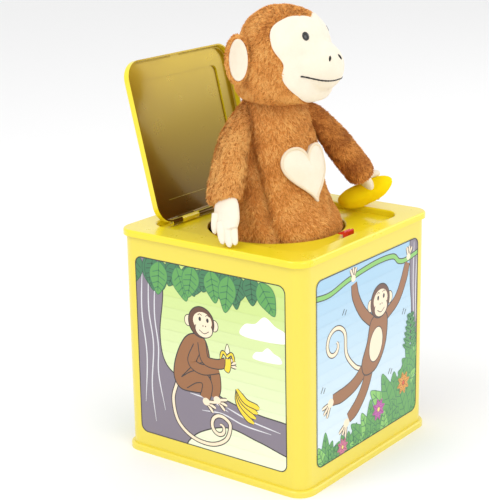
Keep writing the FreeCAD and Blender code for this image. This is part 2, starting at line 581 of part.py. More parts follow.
def make_drum():
    """Drum gear, pinned drum, axle and trip cam, which turn as one."""
    drum_y, drum_z = drum_place()
    blank, turn = gear_blank("drum_gear", "$gear_teeth", value("$drum_angle") + 180)
    tools = [cylinder("drum_gear_hole", "$axle_radius", "3 * $gear_width", 0, 0, "-$gear_width")]
    for number in range(5):
        spoke = cylinder(f"gear_window_{number}", "3.6", "3 * $gear_width", "0", "0", "-$gear_width")
        spin = Rotation(AXIS["Z"], 72 * number)
        spoke.Placement = Placement(spin.multVec(Vector(12, 0, -9)), spin)
        spoke.setExpression("Placement.Base.x", f"12 * cos({72 * number} deg)")
        spoke.setExpression("Placement.Base.y", f"12 * sin({72 * number} deg)")
        tools.append(spoke)
    gear = cut("drum_gear_cut", blank, *tools)
    place(gear, "$gear_x", drum_y, drum_z, turn)
    subpart(gear, "drum_gear")

    subpart(cylinder("axle", "$axle_radius", "$frame_outer_x - $frame_inner_x + 1.6",
                     "$frame_inner_x - 0.4", drum_y, drum_z, "X"), "drum_axle")
    barrel = cylinder("drum_barrel", "$drum_radius", "$drum_length", "$drum_x", drum_y, drum_z, "X")
    axle_hole = cylinder("drum_axle_hole", "$axle_radius", "3 * $drum_length",
                         "$drum_x - $drum_length", drum_y, drum_z, "X")
    centre = Vector(0, value(drum_y), value(drum_z))
    pins = []
    for row in range(int(value("$comb_teeth"))):
        for step in range(3):
            angle = 137.5 * row + 111 * step + 35
            out = Rotation(AXIS["X"], angle).multVec(AXIS["Z"])
            start = centre + out * (value("$drum_radius") - 0.3)
            start.x = value("$drum_x + 0.9 + $comb_pitch * 1") + row * value("$comb_pitch")
            if out.y > 0.85 and abs(out.z) < 0.5:
                continue
            pins.append(Part.makeCylinder(value("$pin_radius"), value("$pin_height + 0.3"), start, out))
    studs = doc.addObject("Part::Feature", "drum_pins")
    studs.Shape = Part.makeCompound(pins)
    subpart(fuse("drum_joined", cut("drum_bored", barrel, axle_hole), studs), "pin_drum")

    base = cylinder("cam_base", "$cam_radius", "2", "$finger_x", drum_y, drum_z, "X")
    tip = cylinder("cam_tip", "2", "2", "$finger_x", drum_y, f"{drum_z} - $cam_reach + 2", "X")
    side = new_body("cam_side")
    flank = new_sketch(side, "cam_flank", "YZ_Plane", "$finger_x")
    outline(flank, [(f"{drum_y} - $cam_radius + 0.3", drum_z), (f"{drum_y} - 2", f"{drum_z} - $cam_reach + 2"),
                    (f"{drum_y} + 2", f"{drum_z} - $cam_reach + 2"), (f"{drum_y} + $cam_radius - 0.3", drum_z)])
    pad(side, "cam_flank_pad", flank, "2")
    hole = cylinder("cam_hole", "$axle_radius", "10", "$finger_x - 4", drum_y, drum_z, "X")
    subpart(cut("cam_cut", fuse("cam_joined", base, tip, side), hole), "trip_cam")


def make_comb():
    """Steel comb on its bed, held by two screws."""
    drum_y, drum_z = drum_place()
    tip = f"({drum_y} + $drum_radius + $pin_height + 0.35)"
    root, back = f"({tip} + $comb_length)", f"({tip} + $comb_length + $comb_base)"
    low_x, high_x = "$drum_x + 0.6", "$drum_x + 0.6 + $comb_teeth * $comb_pitch"
    top = f"({drum_z} + $comb_thickness)"
    pieces = [box("comb_plate", (low_x, root, drum_z), (high_x, back, top))]
    for number in range(int(value("$comb_teeth"))):
        start = f"{low_x} + {number} * $comb_pitch + 0.15"
        pieces.append(box(f"comb_tooth_{number:02d}", (start, tip, drum_z),
                          (f"{start} + $comb_tooth", f"{root} + 0.1", f"{drum_z} + 0.6")))
    screws, comb_holes, bed_holes = [], [], []
    for number, x in enumerate((f"{low_x} + 2.6", f"{high_x} - 2.6"), start=1):
        y = f"{root} + $comb_base / 2"
        comb_holes.append(cylinder(f"comb_hole_{number}", "1", "4", x, y, f"{drum_z} - 1"))
        bed_holes.append(cylinder(f"bed_hole_{number}", "1", "6", x, y, f"{drum_z} - 6"))
        head = cylinder(f"screw_head_{number}", "1.9", "1.1", x, y, top)
        shank = cylinder(f"screw_shank_{number}", "1", "6.5", x, y, f"{top} - 6.4")
        slot = box(f"screw_slot_{number}", (f"{x} - 2", f"{y} - 0.2", f"{top} + 0.7"),
                   (f"{x} + 2", f"{y} + 0.2", f"{top} + 2"))
        screws.append(cut(f"screw_{number}", fuse(f"screw_joined_{number}", head, shank), slot))
    subpart(cut("comb_cut", fuse("comb_joined", *pieces), *comb_holes), "comb")
    bed = box("bed_block", ("$frame_inner_x + $bracket_sheet", root, f"{drum_z} - 9"),
              (high_x, back, drum_z))
    subpart(cut("bed_cut", bed, *bed_holes), "comb_bed")
    group = doc.addObject("Part::Compound", "screw_group")
    group.Links = screws
    subpart(group, "comb_screws")


# ---------------------------------------------------------------- puppet on its spring
def make_spring():
    """Seat, clamp ring, coil spring and the plate that the spring pushes up."""
    seat = cylinder("seat_disc", "$seat_radius", "$seat_sheet", 0, 0, "$base_floor")
    subpart(seat, "spring_seat")
    clamp_low = "$base_floor + $seat_sheet"
    ring = cylinder("clamp_disc", "$seat_radius", "$clamp_height", 0, 0, clamp_low)
    hole = cylinder("clamp_hole", "$seat_radius - 6", "3 * $clamp_height", 0, 0, "0")
    subpart(cut("clamp_cut", ring, hole), "sleeve_clamp")
    line = doc.addObject("Part::Helix", "spring_line")
    start = "($base_floor + $seat_sheet + $spring_wire)"
    bind(line, Radius="$spring_radius", Pitch="$spring_pitch", Height=f"$spring_top - $spring_wire - {start}")
    place(line, 0, 0, start)
    section = doc.addObject("Part::Circle", "spring_section")
    bind(section, Radius="$spring_wire")
    place(section, "$spring_radius", 0, start, Rotation(AXIS["X"], 90))
    sweep = doc.addObject("Part::Sweep", "spring_sweep")
    sweep.Sections = [section]
    sweep.Spine = (line, ["Edge1"])
    sweep.Solid = True
    sweep.Frenet = True
    subpart(sweep, "puppet_spring")
    plate = cylinder("plate_disc", "$plate_radius", "1.5", 0, 0, "$spring_top")
    neck = cylinder("plate_neck", "$neck_radius", "$neck_top - $spring_top", 0, 0, "$spring_top")
    subpart(fuse("plate_joined", plate, neck), "spring_plate")


# radius of the fur sleeve at heights from the floor of the box to the neck
SLEEVE = [(6, 33), (14, 35), (40, 36), (100, 36), (122, 37), (134, 40.5), (142, 41.8), (148, 40.6),
          (156, 36.5), (166, 32.5), (180, 29.5), (192, 27), (205, 24), (213, 21), (217, 17)]
# head: height and radius of its outline, neck first
HEAD = [(218.6, 17), (220.6, 22), (223, 25.5), (227, 28.4), (233, 29.6), (241, 29.8), (251, 29.2),
        (258, 28.2), (265, 25.6), (271, 21.4), (276, 15), (279, 8), (280.3, 2)]


def make_sleeve():
    """Fur sleeve over the spring: the torso above the deck, a plain tube below it."""
    body = new_body("sleeve_body")
    half = new_sketch(body, "sleeve_half", "XZ_Plane")
    outer = [(str(radius), str(height)) for height, radius in SLEEVE]
    inner = [(f"{radius} - $sleeve_wall", str(height)) for height, radius in SLEEVE[:-2]]
    cap = [("$neck_radius + 0.4", str(SLEEVE[-1][0])), ("$neck_radius + 0.4", str(SLEEVE[-1][0] - 6))]
    outline(half, outer + cap + list(reversed(inner)))
    revolve(body, "sleeve_revolution", half)
    subpart(body, "torso_sleeve")


def make_heart():
    """Felt heart sewn on the torso's front, following its round surface."""
    places = [(0, 152), (-9, 160), (-15.5, 172), (-15, 180), (-10, 185), (-4, 184.5), (0, 180)]
    mirrored = [(-x, z) for x, z in reversed(places[1:-1])]
    points = [Vector(x, -80, z) for x, z in places + mirrored]
    curve = Part.BSplineCurve()
    curve.interpolate(points[:7])
    other = Part.BSplineCurve()
    other.interpolate([points[6]] + points[7:] + [points[0]])
    face = Part.Face(Part.Wire([curve.toShape(), other.toShape()]))
    prism = doc.addObject("Part::Feature", "heart_prism")
    prism.Shape = face.extrude(Vector(0, 80, 0))
    felt = new_body("heart_felt")
    ring = new_sketch(felt, "heart_ring", "XZ_Plane")
    stretch = SLEEVE[6:13]
    outline(ring, [(f"{radius} + 1.5", str(height)) for height, radius in stretch]
            + [(str(radius), str(height)) for height, radius in reversed(stretch)])
    revolve(felt, "heart_revolution", ring)
    heart = doc.addObject("Part::Common", "heart_common")
    heart.Base = felt
    heart.Tool = prism
    subpart(heart, "heart_patch")


def revolved(name, profile):
    """A solid of revolution about the box's upright axis through (height, radius) rows."""
    body = new_body(f"{name}_body")
    half = new_sketch(body, f"{name}_half", "XZ_Plane")
    low, high = profile[0][0], profile[-1][0]
    outline(half, [("0", str(low))] + [(str(radius), str(height)) for height, radius in profile]
            + [("0", str(high))])
    revolve(body, f"{name}_revolution", half)
    return body


def make_head():
    """Plush head, muzzle, ears and bead eyes.  The head is hollowed where the others sit in it."""
    def muzzle(use):
        return ellipsoid(f"muzzle_{use}", ("18", "17.5", "16.5"), ("$muzzle_x", "$muzzle_y", "$muzzle_z"),
                         Rotation(AXIS["Z"], 90 + value("$head_turn")))

    def around(angle, out):
        """A place at an angle from straight ahead of the turned head, out from its axis."""
        spot = Rotation(AXIS["Z"], angle + value("$head_turn")).multVec(Vector(0, -out, 0))
        return value("$head_x") + spot.x, value("$head_y") + spot.y

    def ear(side, use):
        x, y = around(side * value("$ear_spread"), value("$ear_out"))
        return ellipsoid(f"ear_{use}_{side + 1}", ("10", "4", "14"), (str(x), str(y), "$ear_z"),
                         Rotation(AXIS["Z"], value("$head_turn") + side * value("$ear_turn")))

    def eye(side, use):
        x, y = around(side * value("$eye_spread"), value("$eye_out"))
        return ellipsoid(f"eye_{use}_{side + 1}", ("2.5", "1.8", "2.6"), (str(x), str(y), "$eye_z"),
                         Rotation(AXIS["Z"], value("$head_turn") + side * value("$eye_spread")))

    skull = place(revolved("skull", HEAD), "$head_x", "$head_y", 0, Rotation(AXIS["Z"], 90))
    hollows = [muzzle("hollow")] + [make(side, "hollow") for make in (ear, eye) for side in (-1, 1)]
    subpart(cut("head_finished", skull, *hollows), "plush_head")
    subpart(muzzle("solid"), "plush_muzzle")
    for side, name in ((-1, "right"), (1, "left")):
        subpart(ear(side, "solid"), f"ear_{name}")
        subpart(eye(side, "solid"), f"eye_{name}")


def limb(name, start, end, wide, thin):
    """An ellipsoid between two points, its broad side turned away from the box's axis."""
    start, end = Vector(*start), Vector(*end)
    middle, along = (start + end) * 0.5, end - start
    outward = Vector(middle.x, middle.y, 0)
    turn = Rotation(outward.cross(along), outward, along, "ZXY")
    item = doc.addObject("Part::Ellipsoid", name)
    item.Radius2, item.Radius3, item.Radius1 = wide, thin, along.Length / 2
    item.Placement = Placement(middle, turn)
    return item


def banana_solid(use):
    """A bent fruit: two long ellipsoids that overlap at an angle."""
    return fuse(f"banana_{use}", limb(f"banana_{use}_stalk", (45.5, -16, 149.8), (60, -37.5, 157.5), 6.6, 6.4),
                limb(f"banana_{use}_tip", (51, -24, 152), (65.5, -46, 164.5), 6.7, 6.5))


def make_arms():
    """Two plush arms with felt hands; the left one holds a banana."""
    right = [(-20, 12, 213), (-55, -2.5, 166), 12, 8.5]
    subpart(cut("arm_right_cut", limb("arm_right_solid", *right), revolved("sleeve_right", SLEEVE)),
            "arm_right")
    subpart(cut("hand_right_cut", limb("hand_right_solid", (-52, -1, 170), (-69, -18.5, 148.5), 8, 4.5),
                limb("arm_right_end", *right)), "hand_right")
    left = [(19, -15, 214), (52.5, -30.5, 166.5), 12, 9]
    subpart(cut("arm_left_cut", limb("arm_left_solid", *left), revolved("sleeve_left", SLEEVE)),
            "arm_left")
    subpart(cut("hand_left_cut", limb("hand_left_solid", (50, -29.5, 168), (62, -34, 148.5), 8, 5),
                limb("arm_left_end", *left), banana_solid("grip")), "hand_left")
    subpart(banana_solid("whole"), "banana")


make_body_shell()
make_base_plate()
make_top_deck()
make_hinge_wire()
make_lid()
make_latch()
make_movement_frame()
make_crank()
make_drum()
make_comb()
make_spring()
make_sleeve()
make_heart()
make_head()
make_arms()

# ---------------------------------------------------------------- checks and files
doc.recompute()
for item in doc.Objects:
    if "Invalid" in item.State or "Error" in item.State:
        raise RuntimeError(f"{item.Name} failed: {item.State}")
os.makedirs("parts", exist_ok=True)
for item in subparts:
    if item.Shape.isNull() or not item.Shape.isValid() or not item.Shape.Solids:
        raise RuntimeError(f"{item.Label} has no valid solid")
    item.Shape.exportStep(f"parts/{item.Label}.step")
    print(f"{item.Label:18s} {len(item.Shape.Solids)} solid(s) {item.Shape.Volume:11.1f} mm3")
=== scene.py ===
"""Looks of the pop-up monkey tin: printed and painted tin, steel and brass movement, and a
plush monkey with felt face, ears, hands and heart.

Lengths below are in millimetres in the part's own frame and become metres in the mesh.
The front of the box faces -Y, the lid hinge is at +Y and the crank is on +X.
"""
import bpy
import numpy as np
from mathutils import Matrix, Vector
from mathutils.geometry import tessellate_polygon


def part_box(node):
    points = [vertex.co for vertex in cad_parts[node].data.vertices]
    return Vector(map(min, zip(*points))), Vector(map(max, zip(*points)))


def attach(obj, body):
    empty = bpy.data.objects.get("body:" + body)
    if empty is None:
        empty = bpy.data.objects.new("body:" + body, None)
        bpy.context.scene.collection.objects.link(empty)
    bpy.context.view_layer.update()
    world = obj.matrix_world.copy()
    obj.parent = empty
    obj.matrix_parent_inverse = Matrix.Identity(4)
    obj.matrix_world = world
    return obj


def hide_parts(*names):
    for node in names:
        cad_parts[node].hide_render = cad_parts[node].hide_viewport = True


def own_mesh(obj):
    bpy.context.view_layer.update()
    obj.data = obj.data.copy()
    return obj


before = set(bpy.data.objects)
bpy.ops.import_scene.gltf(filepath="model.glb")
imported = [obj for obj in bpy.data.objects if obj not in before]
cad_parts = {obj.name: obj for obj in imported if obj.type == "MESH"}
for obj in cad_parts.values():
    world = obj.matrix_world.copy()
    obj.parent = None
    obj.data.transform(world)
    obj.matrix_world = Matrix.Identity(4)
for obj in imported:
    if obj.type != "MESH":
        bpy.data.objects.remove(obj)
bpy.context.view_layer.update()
MM = 0.001
TAU = 2 * np.pi

# ---------------------------------------------------------------- measures of the plush
PILE = 1.6                   # how deep the skin lies under the tips of the pile
head_centre = np.array([0.97, -5.9, 250.8])
head_turn = np.radians(3)
muzzle_reach = np.array([0.0, -20.84, -6.9])
muzzle_radii = np.array([17.5, 19.4, 16.5])


# ---------------------------------------------------------------- colours
def linear(red, green, blue):
    """A colour seen on a screen, 0 to 255, as the light it reflects."""
    seen = np.array([red, green, blue]) / 255
    return tuple(np.where(seen <= 0.04045, seen / 12.92, ((seen + 0.055) / 1.055) ** 2.4))


# ---------------------------------------------------------------- materials
def shader(name, colour=(0.5, 0.5, 0.5), **settings):
    """A Principled material with its plain settings made, and its node tree to add to."""
    material = bpy.data.materials.new(name)
    material.use_nodes = True
    tree = material.node_tree
    surface = tree.nodes["Principled BSDF"]
    surface.inputs["Base Color"].default_value = (*colour, 1)
    for label, number in settings.items():
        socket = surface.inputs[label.replace("_", " ")]
        socket.default_value = number
    return material, tree, surface


def noise(tree, scale, **settings):
    """A noise texture fed with the piece's own coordinates."""
    place = tree.nodes.new("ShaderNodeTexCoord")
    texture = tree.nodes.new("ShaderNodeTexNoise")
    texture.inputs["Scale"].default_value = scale
    for label, number in settings.items():
        texture.inputs[label.replace("_", " ")].default_value = number
    tree.links.new(place.outputs["Object"], texture.inputs["Vector"])
    return texture


def ramp(tree, factor, stops):
    """A colour ramp through (place, colour) stops."""
    node = tree.nodes.new("ShaderNodeValToRGB")
    elements = node.color_ramp.elements
    while len(elements) < len(stops):
        elements.new(0.5)
    for element, (place, colour) in zip(elements, stops):
        element.position = place
        element.color = (*colour, 1)
    tree.links.new(factor, node.inputs["Fac"])
    return node.outputs["Color"]


def mix(tree, factor, first, second, blend="MIX"):
    """Mix two colours; each is a socket or a plain colour."""
    node = tree.nodes.new("ShaderNodeMix")
    node.data_type = "RGBA"
    node.blend_type = blend
    for index, item in ((0, factor), (6, first), (7, second)):
        if hasattr(item, "is_linked"):
            tree.links.new(item, node.inputs[index])
        else:
            node.inputs[index].default_value = item if index == 0 else (*item, 1)
    return node.outputs[2]


def bump(tree, surface, height, distance, strength=1.0):
    """Fine relief: a height from 0 to 1 raises the surface by up to distance, in metres."""
    node = tree.nodes.new("ShaderNodeBump")
    node.inputs["Strength"].default_value = strength
    node.inputs["Distance"].default_value = distance
    tree.links.new(height, node.inputs["Height"])
    tree.links.new(node.outputs["Normal"], surface.inputs["Normal"])


def scaled(tree, value, low, high):
    """Carry a 0 to 1 value to the range from low to high."""
    node = tree.nodes.new("ShaderNodeMapRange")
    node.inputs["To Min"].default_value = low
    node.inputs["To Max"].default_value = high
    tree.links.new(value, node.inputs["Value"])
    return node.outputs["Result"]


def mottle(tree, surface, colour, cloud, most, dark):
    """Vary a colour: where the cloud is high, up to the share most of it is darkened."""
    shade = mix(tree, scaled(tree, cloud.outputs["Fac"], 0.0, most), colour,
                tuple(channel * dark for channel in colour))
    tree.links.new(shade, surface.inputs["Base Color"])


def roughen(tree, surface, cloud, low, high):
    """Vary the roughness from low to high with the cloud."""
    tree.links.new(scaled(tree, cloud.outputs["Fac"], low, high), surface.inputs["Roughness"])


def enamel(name, colour, gloss=0.28):
    """Stoved enamel on tin: a clear coat over slightly uneven paint with faint handling marks."""
    material, tree, surface = shader(name, colour, Coat_Weight=0.55, Coat_Roughness=0.12)
    cloud = noise(tree, 18, Detail=3)
    mottle(tree, surface, colour, cloud, 0.35, 0.9)
    smear = noise(tree, 60, Detail=5, Roughness=0.7)
    roughen(tree, surface, smear, gloss - 0.07, gloss + 0.1)
    dents = noise(tree, 14, Detail=1)
    bump(tree, surface, dents.outputs["Fac"], 0.00005, 0.4)
    return material


def lid_lacquer(name, colour, painted_reflection_dark, thin):
    """The lid: enamel outside, and inside a gold lacquer on bare tin, glossy enough to mirror what stands
    before it. Inside, the lacquer's colour is painted darker, most towards the hinge: painted reflection of
    the brown puppet and painted shade. The inner side is where the surface looks along the open lid's face."""
    material = enamel(name, colour)
    tree = material.node_tree
    surface = tree.nodes["Principled BSDF"]
    place = tree.nodes.new("ShaderNodeTexCoord")
    facing = tree.nodes.new("ShaderNodeVectorMath")
    facing.operation = "DOT_PRODUCT"
    facing.inputs[1].default_value = (0, -0.97, 0.242)
    tree.links.new(place.outputs["Normal"], facing.inputs[0])
    inside = tree.nodes.new("ShaderNodeMapRange")
    inside.inputs["From Min"].default_value = 0.1
    inside.inputs["From Max"].default_value = 0.6
    tree.links.new(facing.outputs["Value"], inside.inputs["Value"])
    enamelled = surface.inputs["Base Color"].links[0].from_socket
    # painted reflection and painted shade: the inside goes darker low on the lid, towards the hinge
    height = tree.nodes.new("ShaderNodeSeparateXYZ")
    tree.links.new(place.outputs["Object"], height.inputs["Vector"])
    run = tree.nodes.new("ShaderNodeMapRange")
    run.inputs["From Min"].default_value = 0.15
    run.inputs["From Max"].default_value = 0.24
    tree.links.new(height.outputs["Z"], run.inputs["Value"])
    inner = mix(tree, run.outputs["Result"], painted_reflection_dark, thin)
    shade = mix(tree, inside.outputs["Result"], enamelled, inner)
    tree.links.new(shade, surface.inputs["Base Color"])
    bare = scaled(tree, inside.outputs["Result"], 0.0, 0.8)
    tree.links.new(bare, surface.inputs["Metallic"])
    return material


def metal(name, colour, rough, along=None):
    """Bare metal with drawing or turning marks."""
    material, tree, surface = shader(name, colour, Metallic=1.0)
    marks = noise(tree, 900, Detail=3)
    if along is not None:
        stretch = tree.nodes.new("ShaderNodeMapping")
        stretch.inputs["Scale"].default_value = along
        place = tree.nodes.new("ShaderNodeTexCoord")
        tree.links.new(place.outputs["Object"], stretch.inputs["Vector"])
        tree.links.new(stretch.outputs["Vector"], marks.inputs["Vector"])
    roughen(tree, surface, marks, rough - 0.1, rough + 0.12)
    tarnish = noise(tree, 90, Detail=4)
    mottle(tree, surface, colour, tarnish, 0.5, 0.78)
    bump(tree, surface, marks.outputs["Fac"], 0.00003, 0.6)
    return material


def moulded(name, colour, rough=0.3):
    """Moulded plastic with a fine spark-eroded grain."""
    material, tree, surface = shader(name, colour, Coat_Weight=0.25, Coat_Roughness=0.2)
    grain = noise(tree, 700, Detail=2)
    roughen(tree, surface, grain, rough - 0.06, rough + 0.1)
    flow = noise(tree, 55, Detail=2)
    mottle(tree, surface, colour, flow, 0.5, 0.82)
    bump(tree, surface, grain.outputs["Fac"], 0.00004, 0.5)
    return material


def printed(name):
    """Lithographed ink: each shape's colour comes from the piece's own attribute."""
    material, tree, surface = shader(name, Coat_Weight=0.5, Coat_Roughness=0.14)
    ink = tree.nodes.new("ShaderNodeAttribute")
    ink.attribute_name = "ink"
    grain = noise(tree, 1500, Detail=2)
    shade = mix(tree, scaled(tree, grain.outputs["Fac"], 0.0, 0.16), ink.outputs["Color"],
                (0.9, 0.9, 0.86), "MULTIPLY")
    tree.links.new(shade, surface.inputs["Base Color"])
    roughen(tree, surface, grain, 0.26, 0.36)
    return material


def pile(name, dark, middle, light):
    """Plush pile: the tone attribute runs from the roots (0), painted in shade, to the tips (1), painted
    lit.
    """
    material, tree, surface = shader(name, middle, Roughness=0.85, Sheen_Weight=0.45,
                                     Sheen_Roughness=0.45, Specular_IOR_Level=0.25)
    surface.inputs["Sheen Tint"].default_value = (*light, 1)
    tone = tree.nodes.new("ShaderNodeAttribute")
    tone.attribute_name = "tone"
    shade = ramp(tree, tone.outputs["Fac"], [(0.0, dark), (0.5, middle), (1.0, light)])
    patch = noise(tree, 45, Detail=2)
    worn = mix(tree, scaled(tree, patch.outputs["Fac"], 0.0, 0.5), shade,
               (0.86, 0.80, 0.76), "MULTIPLY")
    tree.links.new(worn, surface.inputs["Base Color"])
    return material


def felt(name, colour, shadow, sheen=0.35):
    """Short-napped knit: tangled fibre grain with a soft sheen."""
    material, tree, surface = shader(name, colour, Roughness=0.92, Sheen_Weight=sheen,
                                     Sheen_Roughness=0.5, Specular_IOR_Level=0.2)
    fibre = noise(tree, 1100, Detail=5, Roughness=0.75, Distortion=1.5)
    clumps = noise(tree, 160, Detail=3)
    fine = mix(tree, scaled(tree, fibre.outputs["Fac"], 0.0, 0.55), colour, shadow)
    tree.links.new(mix(tree, scaled(tree, clumps.outputs["Fac"], 0.0, 0.4), fine, shadow),
                   surface.inputs["Base Color"])
    both = tree.nodes.new("ShaderNodeMath")
    both.operation = "ADD"
    tree.links.new(fibre.outputs["Fac"], both.inputs[0])
    tree.links.new(clumps.outputs["Fac"], both.inputs[1])
    bump(tree, surface, both.outputs["Value"], 0.0005, 0.55)
    return material


# fur colours: painted shade for the roots, the plain colour, and painted light for the tips
FUR_SHADED_ROOT, FUR_MIDDLE, FUR_LIT_TIP = linear(160, 88, 34), linear(228, 152, 72), linear(252, 200, 118)
CREAM, CREAM_SHADOW = linear(250, 243, 226), linear(226, 208, 180)
TIN_YELLOW, TIN_PALE = linear(240, 220, 28), linear(234, 214, 70)

deck_enamel = enamel("deck_enamel", TIN_YELLOW)
# the lid's inside is painted dark, darkest towards the hinge: painted reflection of the puppet and painted
# shade
lid_enamel = lid_lacquer("lid_enamel", TIN_YELLOW, linear(104, 78, 2), linear(178, 150, 26))
wall_enamel = enamel("wall_enamel", TIN_PALE, 0.32)
litho_print = printed("litho_print")
spring_steel = metal("spring_steel", (0.62, 0.62, 0.63), 0.34)
bright_steel = metal("bright_steel", (0.78, 0.78, 0.8), 0.22, (400, 4000, 4000))
movement_brass = metal("movement_brass", (0.80, 0.58, 0.25), 0.32)
latch_red = moulded("latch_red", linear(206, 16, 8))
bush_white = moulded("bush_white", linear(232, 230, 222), 0.42)
golden_pile = pile("golden_pile", FUR_SHADED_ROOT, FUR_MIDDLE, FUR_LIT_TIP)
cream_felt = felt("cream_felt", CREAM, CREAM_SHADOW)
banana_felt = felt("banana_felt", linear(255, 228, 0), linear(252, 212, 0), 0.0)
black_bead, _, _ = shader("black_bead", (0.006, 0.006, 0.007), Roughness=0.12, Coat_Weight=0.6)
black_thread = felt("black_thread", (0.02, 0.017, 0.015), (0.006, 0.005, 0.005))
seam_thread = felt("seam_thread", linear(248, 236, 212), linear(224, 202, 168))


# ---------------------------------------------------------------- meshes from arrays
def mesh_piece(name, points, corners, sizes, material, body, shading=True, **attributes):
    """A mesh object from points in mm, a flat list of face corners and each face's size."""
    mesh = bpy.data.meshes.new(name)
    points = np.asarray(points, dtype=np.float32) * MM
    corners, sizes = np.asarray(corners, dtype=np.int32), np.asarray(sizes, dtype=np.int32)
    mesh.vertices.add(len(points))
    mesh.vertices.foreach_set("co", points.ravel())
    mesh.loops.add(len(corners))
    mesh.loops.foreach_set("vertex_index", corners)
    mesh.polygons.add(len(sizes))
    mesh.polygons.foreach_set("loop_start", np.concatenate([[0], np.cumsum(sizes)[:-1]]).astype(np.int32))
    mesh.update(calc_edges=True)
    mesh.validate()
    mesh.polygons.foreach_set("use_smooth", np.full(len(mesh.polygons), shading))
    for label, values in attributes.items():
        values = np.asarray(values, dtype=np.float32)
        kind = "FLOAT" if values.ndim == 1 else "FLOAT_COLOR"
        layer = mesh.attributes.new(label, kind, "POINT")
        layer.data.foreach_set("value" if kind == "FLOAT" else "color", values.ravel())
    mesh.materials.append(material)
    piece = bpy.data.objects.new(name, mesh)
    bpy.context.scene.collection.objects.link(piece)
    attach(piece, body)
    return piece


def unit(vectors):
    """The vectors brought to length one."""
    return vectors / np.maximum(np.linalg.norm(vectors, axis=-1, keepdims=True), 1e-9)


def along_and_across(path, up):
    """A path's direction at each point, with the two directions across it: level with respect to
    up, and square to both."""
    along = unit(np.gradient(path, axis=0))
    side = unit(np.cross(along, up))
    return along, side, np.cross(side, along)


def rings(count, side, over, wide=1.0, tall=1.0):
    """An ellipse of count places about each point of a path, from the two directions across it."""
    turn = np.linspace(0, TAU, count, endpoint=False)[None, :, None]
    return wide * np.cos(turn) * side[:, None] + tall * np.sin(turn) * over[:, None]


def grid_faces(rows, columns, close_rows):
    """Quads of a rows by columns grid of points whose last column joins the first."""
    row = np.arange(rows if close_rows else rows - 1)[:, None]
    column = np.arange(columns)[None, :]
    next_row, next_column = (row + 1) % rows, (column + 1) % columns
    quads = np.stack([row * columns + column, row * columns + next_column,
                      next_row * columns + next_column, next_row * columns + column], axis=-1)
    return quads.reshape(-1, 4)


def grid_normals(points, outward=None):
    """Normals of a closed grid, the cross product of its two central differences, turned to the
    side of outward where that is given."""
    across = np.roll(points, -1, axis=1) - np.roll(points, 1, axis=1)
    normal = unit(np.cross(across, np.gradient(points, axis=0)))
    if outward is not None:
        normal *= np.sign(np.sum(normal * outward, axis=-1, keepdims=True) + 1e-9)
    return normal


class Heap:
    """Points, faces and tones gathered from several shapes into one mesh."""

    def __init__(self):
        self.points, self.corners, self.sizes, self.tones, self.count = [], [], [], [], 0

    def add(self, points, tone, about=None, close_rows=False):
        """Add a grid of points. Its faces are turned to point outwards: the volume that they
        enclose, measured from the grid's middle or from the place about, comes out positive."""
        faces = grid_faces(*points.shape[:2], close_rows)
        points = points.reshape(-1, 3)
        seen = points - (points.mean(axis=0) if about is None else about)
        a, b, c, d = (seen[faces[:, corner]] for corner in range(4))
        if np.sum(a * np.cross(b, c)) + np.sum(a * np.cross(c, d)) < 0:
            faces = faces[:, ::-1]
        self.points.append(points)
        self.corners.append((faces + self.count).ravel())
        self.sizes.append(np.full(len(faces), 4))
        self.tones.append(np.broadcast_to(tone, (len(points),)))
        self.count += len(points)

    def piece(self, name, material, body, slot, node=None, fill=None):
        """Make one piece of all that was added: it rides a body, and stands for a node, whose part it
        hides, where that is given. The slot and fill are not used."""
        piece = mesh_piece(name, np.concatenate(self.points), np.concatenate(self.corners),
                           np.concatenate(self.sizes), material, body,
                           tone=np.concatenate(self.tones))
        if node:
            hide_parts(node)
        return piece


def tube(heap, path, radii, sides=10):
    """A closed tube along a path: rings of the given radii, drawn in to a point at both ends."""
    path = np.asarray(path, float)
    radii = np.broadcast_to(radii, (len(path),)).astype(float)
    _, side, over = along_and_across(path, (0, 0, 1))
    path = np.concatenate([path[:1], path, path[-1:]])
    side, over = (np.concatenate([item[:1], item, item[-1:]]) for item in (side, over))
    radii = np.concatenate([[1e-3], radii, [1e-3]])
    points = path[:, None] + rings(sides, side, over) * radii[:, None, None]
    heap.add(points, 0.5)


def closed(rows, first, last):
    """Close a grid of rings: a row drawn in to one place before it and another after it."""
    return np.concatenate([np.broadcast_to(first, (1,) + rows.shape[1:]), rows,
                           np.broadcast_to(last, (1,) + rows.shape[1:])])


def waves(points, scale, seed, octaves=4):
    """Smooth noise from -1 to 1: the mean of sine waves that run in random directions."""
    chance = np.random.default_rng(seed)
    total = np.zeros(points.shape[:-1])
    for octave in range(octaves):
        for _ in range(3):
            run = chance.normal(size=3)
            run *= 2 ** (octave * 0.7) / (np.linalg.norm(run) * scale)
            total += np.sin(points @ run * TAU + chance.uniform(0, TAU)) / 1.6 ** octave
    return np.clip(total / 3.2, -1, 1)


def sample_grid(points, normals, count, chance, keep=True):
    """Random places on a closed grid surface, spread by area where keep allows, with their
    normals."""
    columns = points.shape[1]
    next_column = np.roll(points, -1, axis=1)
    area = np.linalg.norm(np.cross(next_column[:-1] - points[:-1], points[1:] - points[:-1]), axis=-1)
    area = area * np.broadcast_to(keep, points.shape[:2])[:-1]
    chosen = chance.choice(area.size, size=count, p=area.ravel() / area.sum())
    row, column = np.unravel_index(chosen, area.shape)
    u, v = chance.random(count)[:, None], chance.random(count)[:, None]
    following = (column + 1) % columns

    def blend(values):
        """The values of the four corners about each place, mixed by its share of the cell."""
        return ((1 - u) * ((1 - v) * values[row, column] + v * values[row, following])
                + u * ((1 - v) * values[row + 1, column] + v * values[row + 1, following]))

    return blend(points), unit(blend(normals))


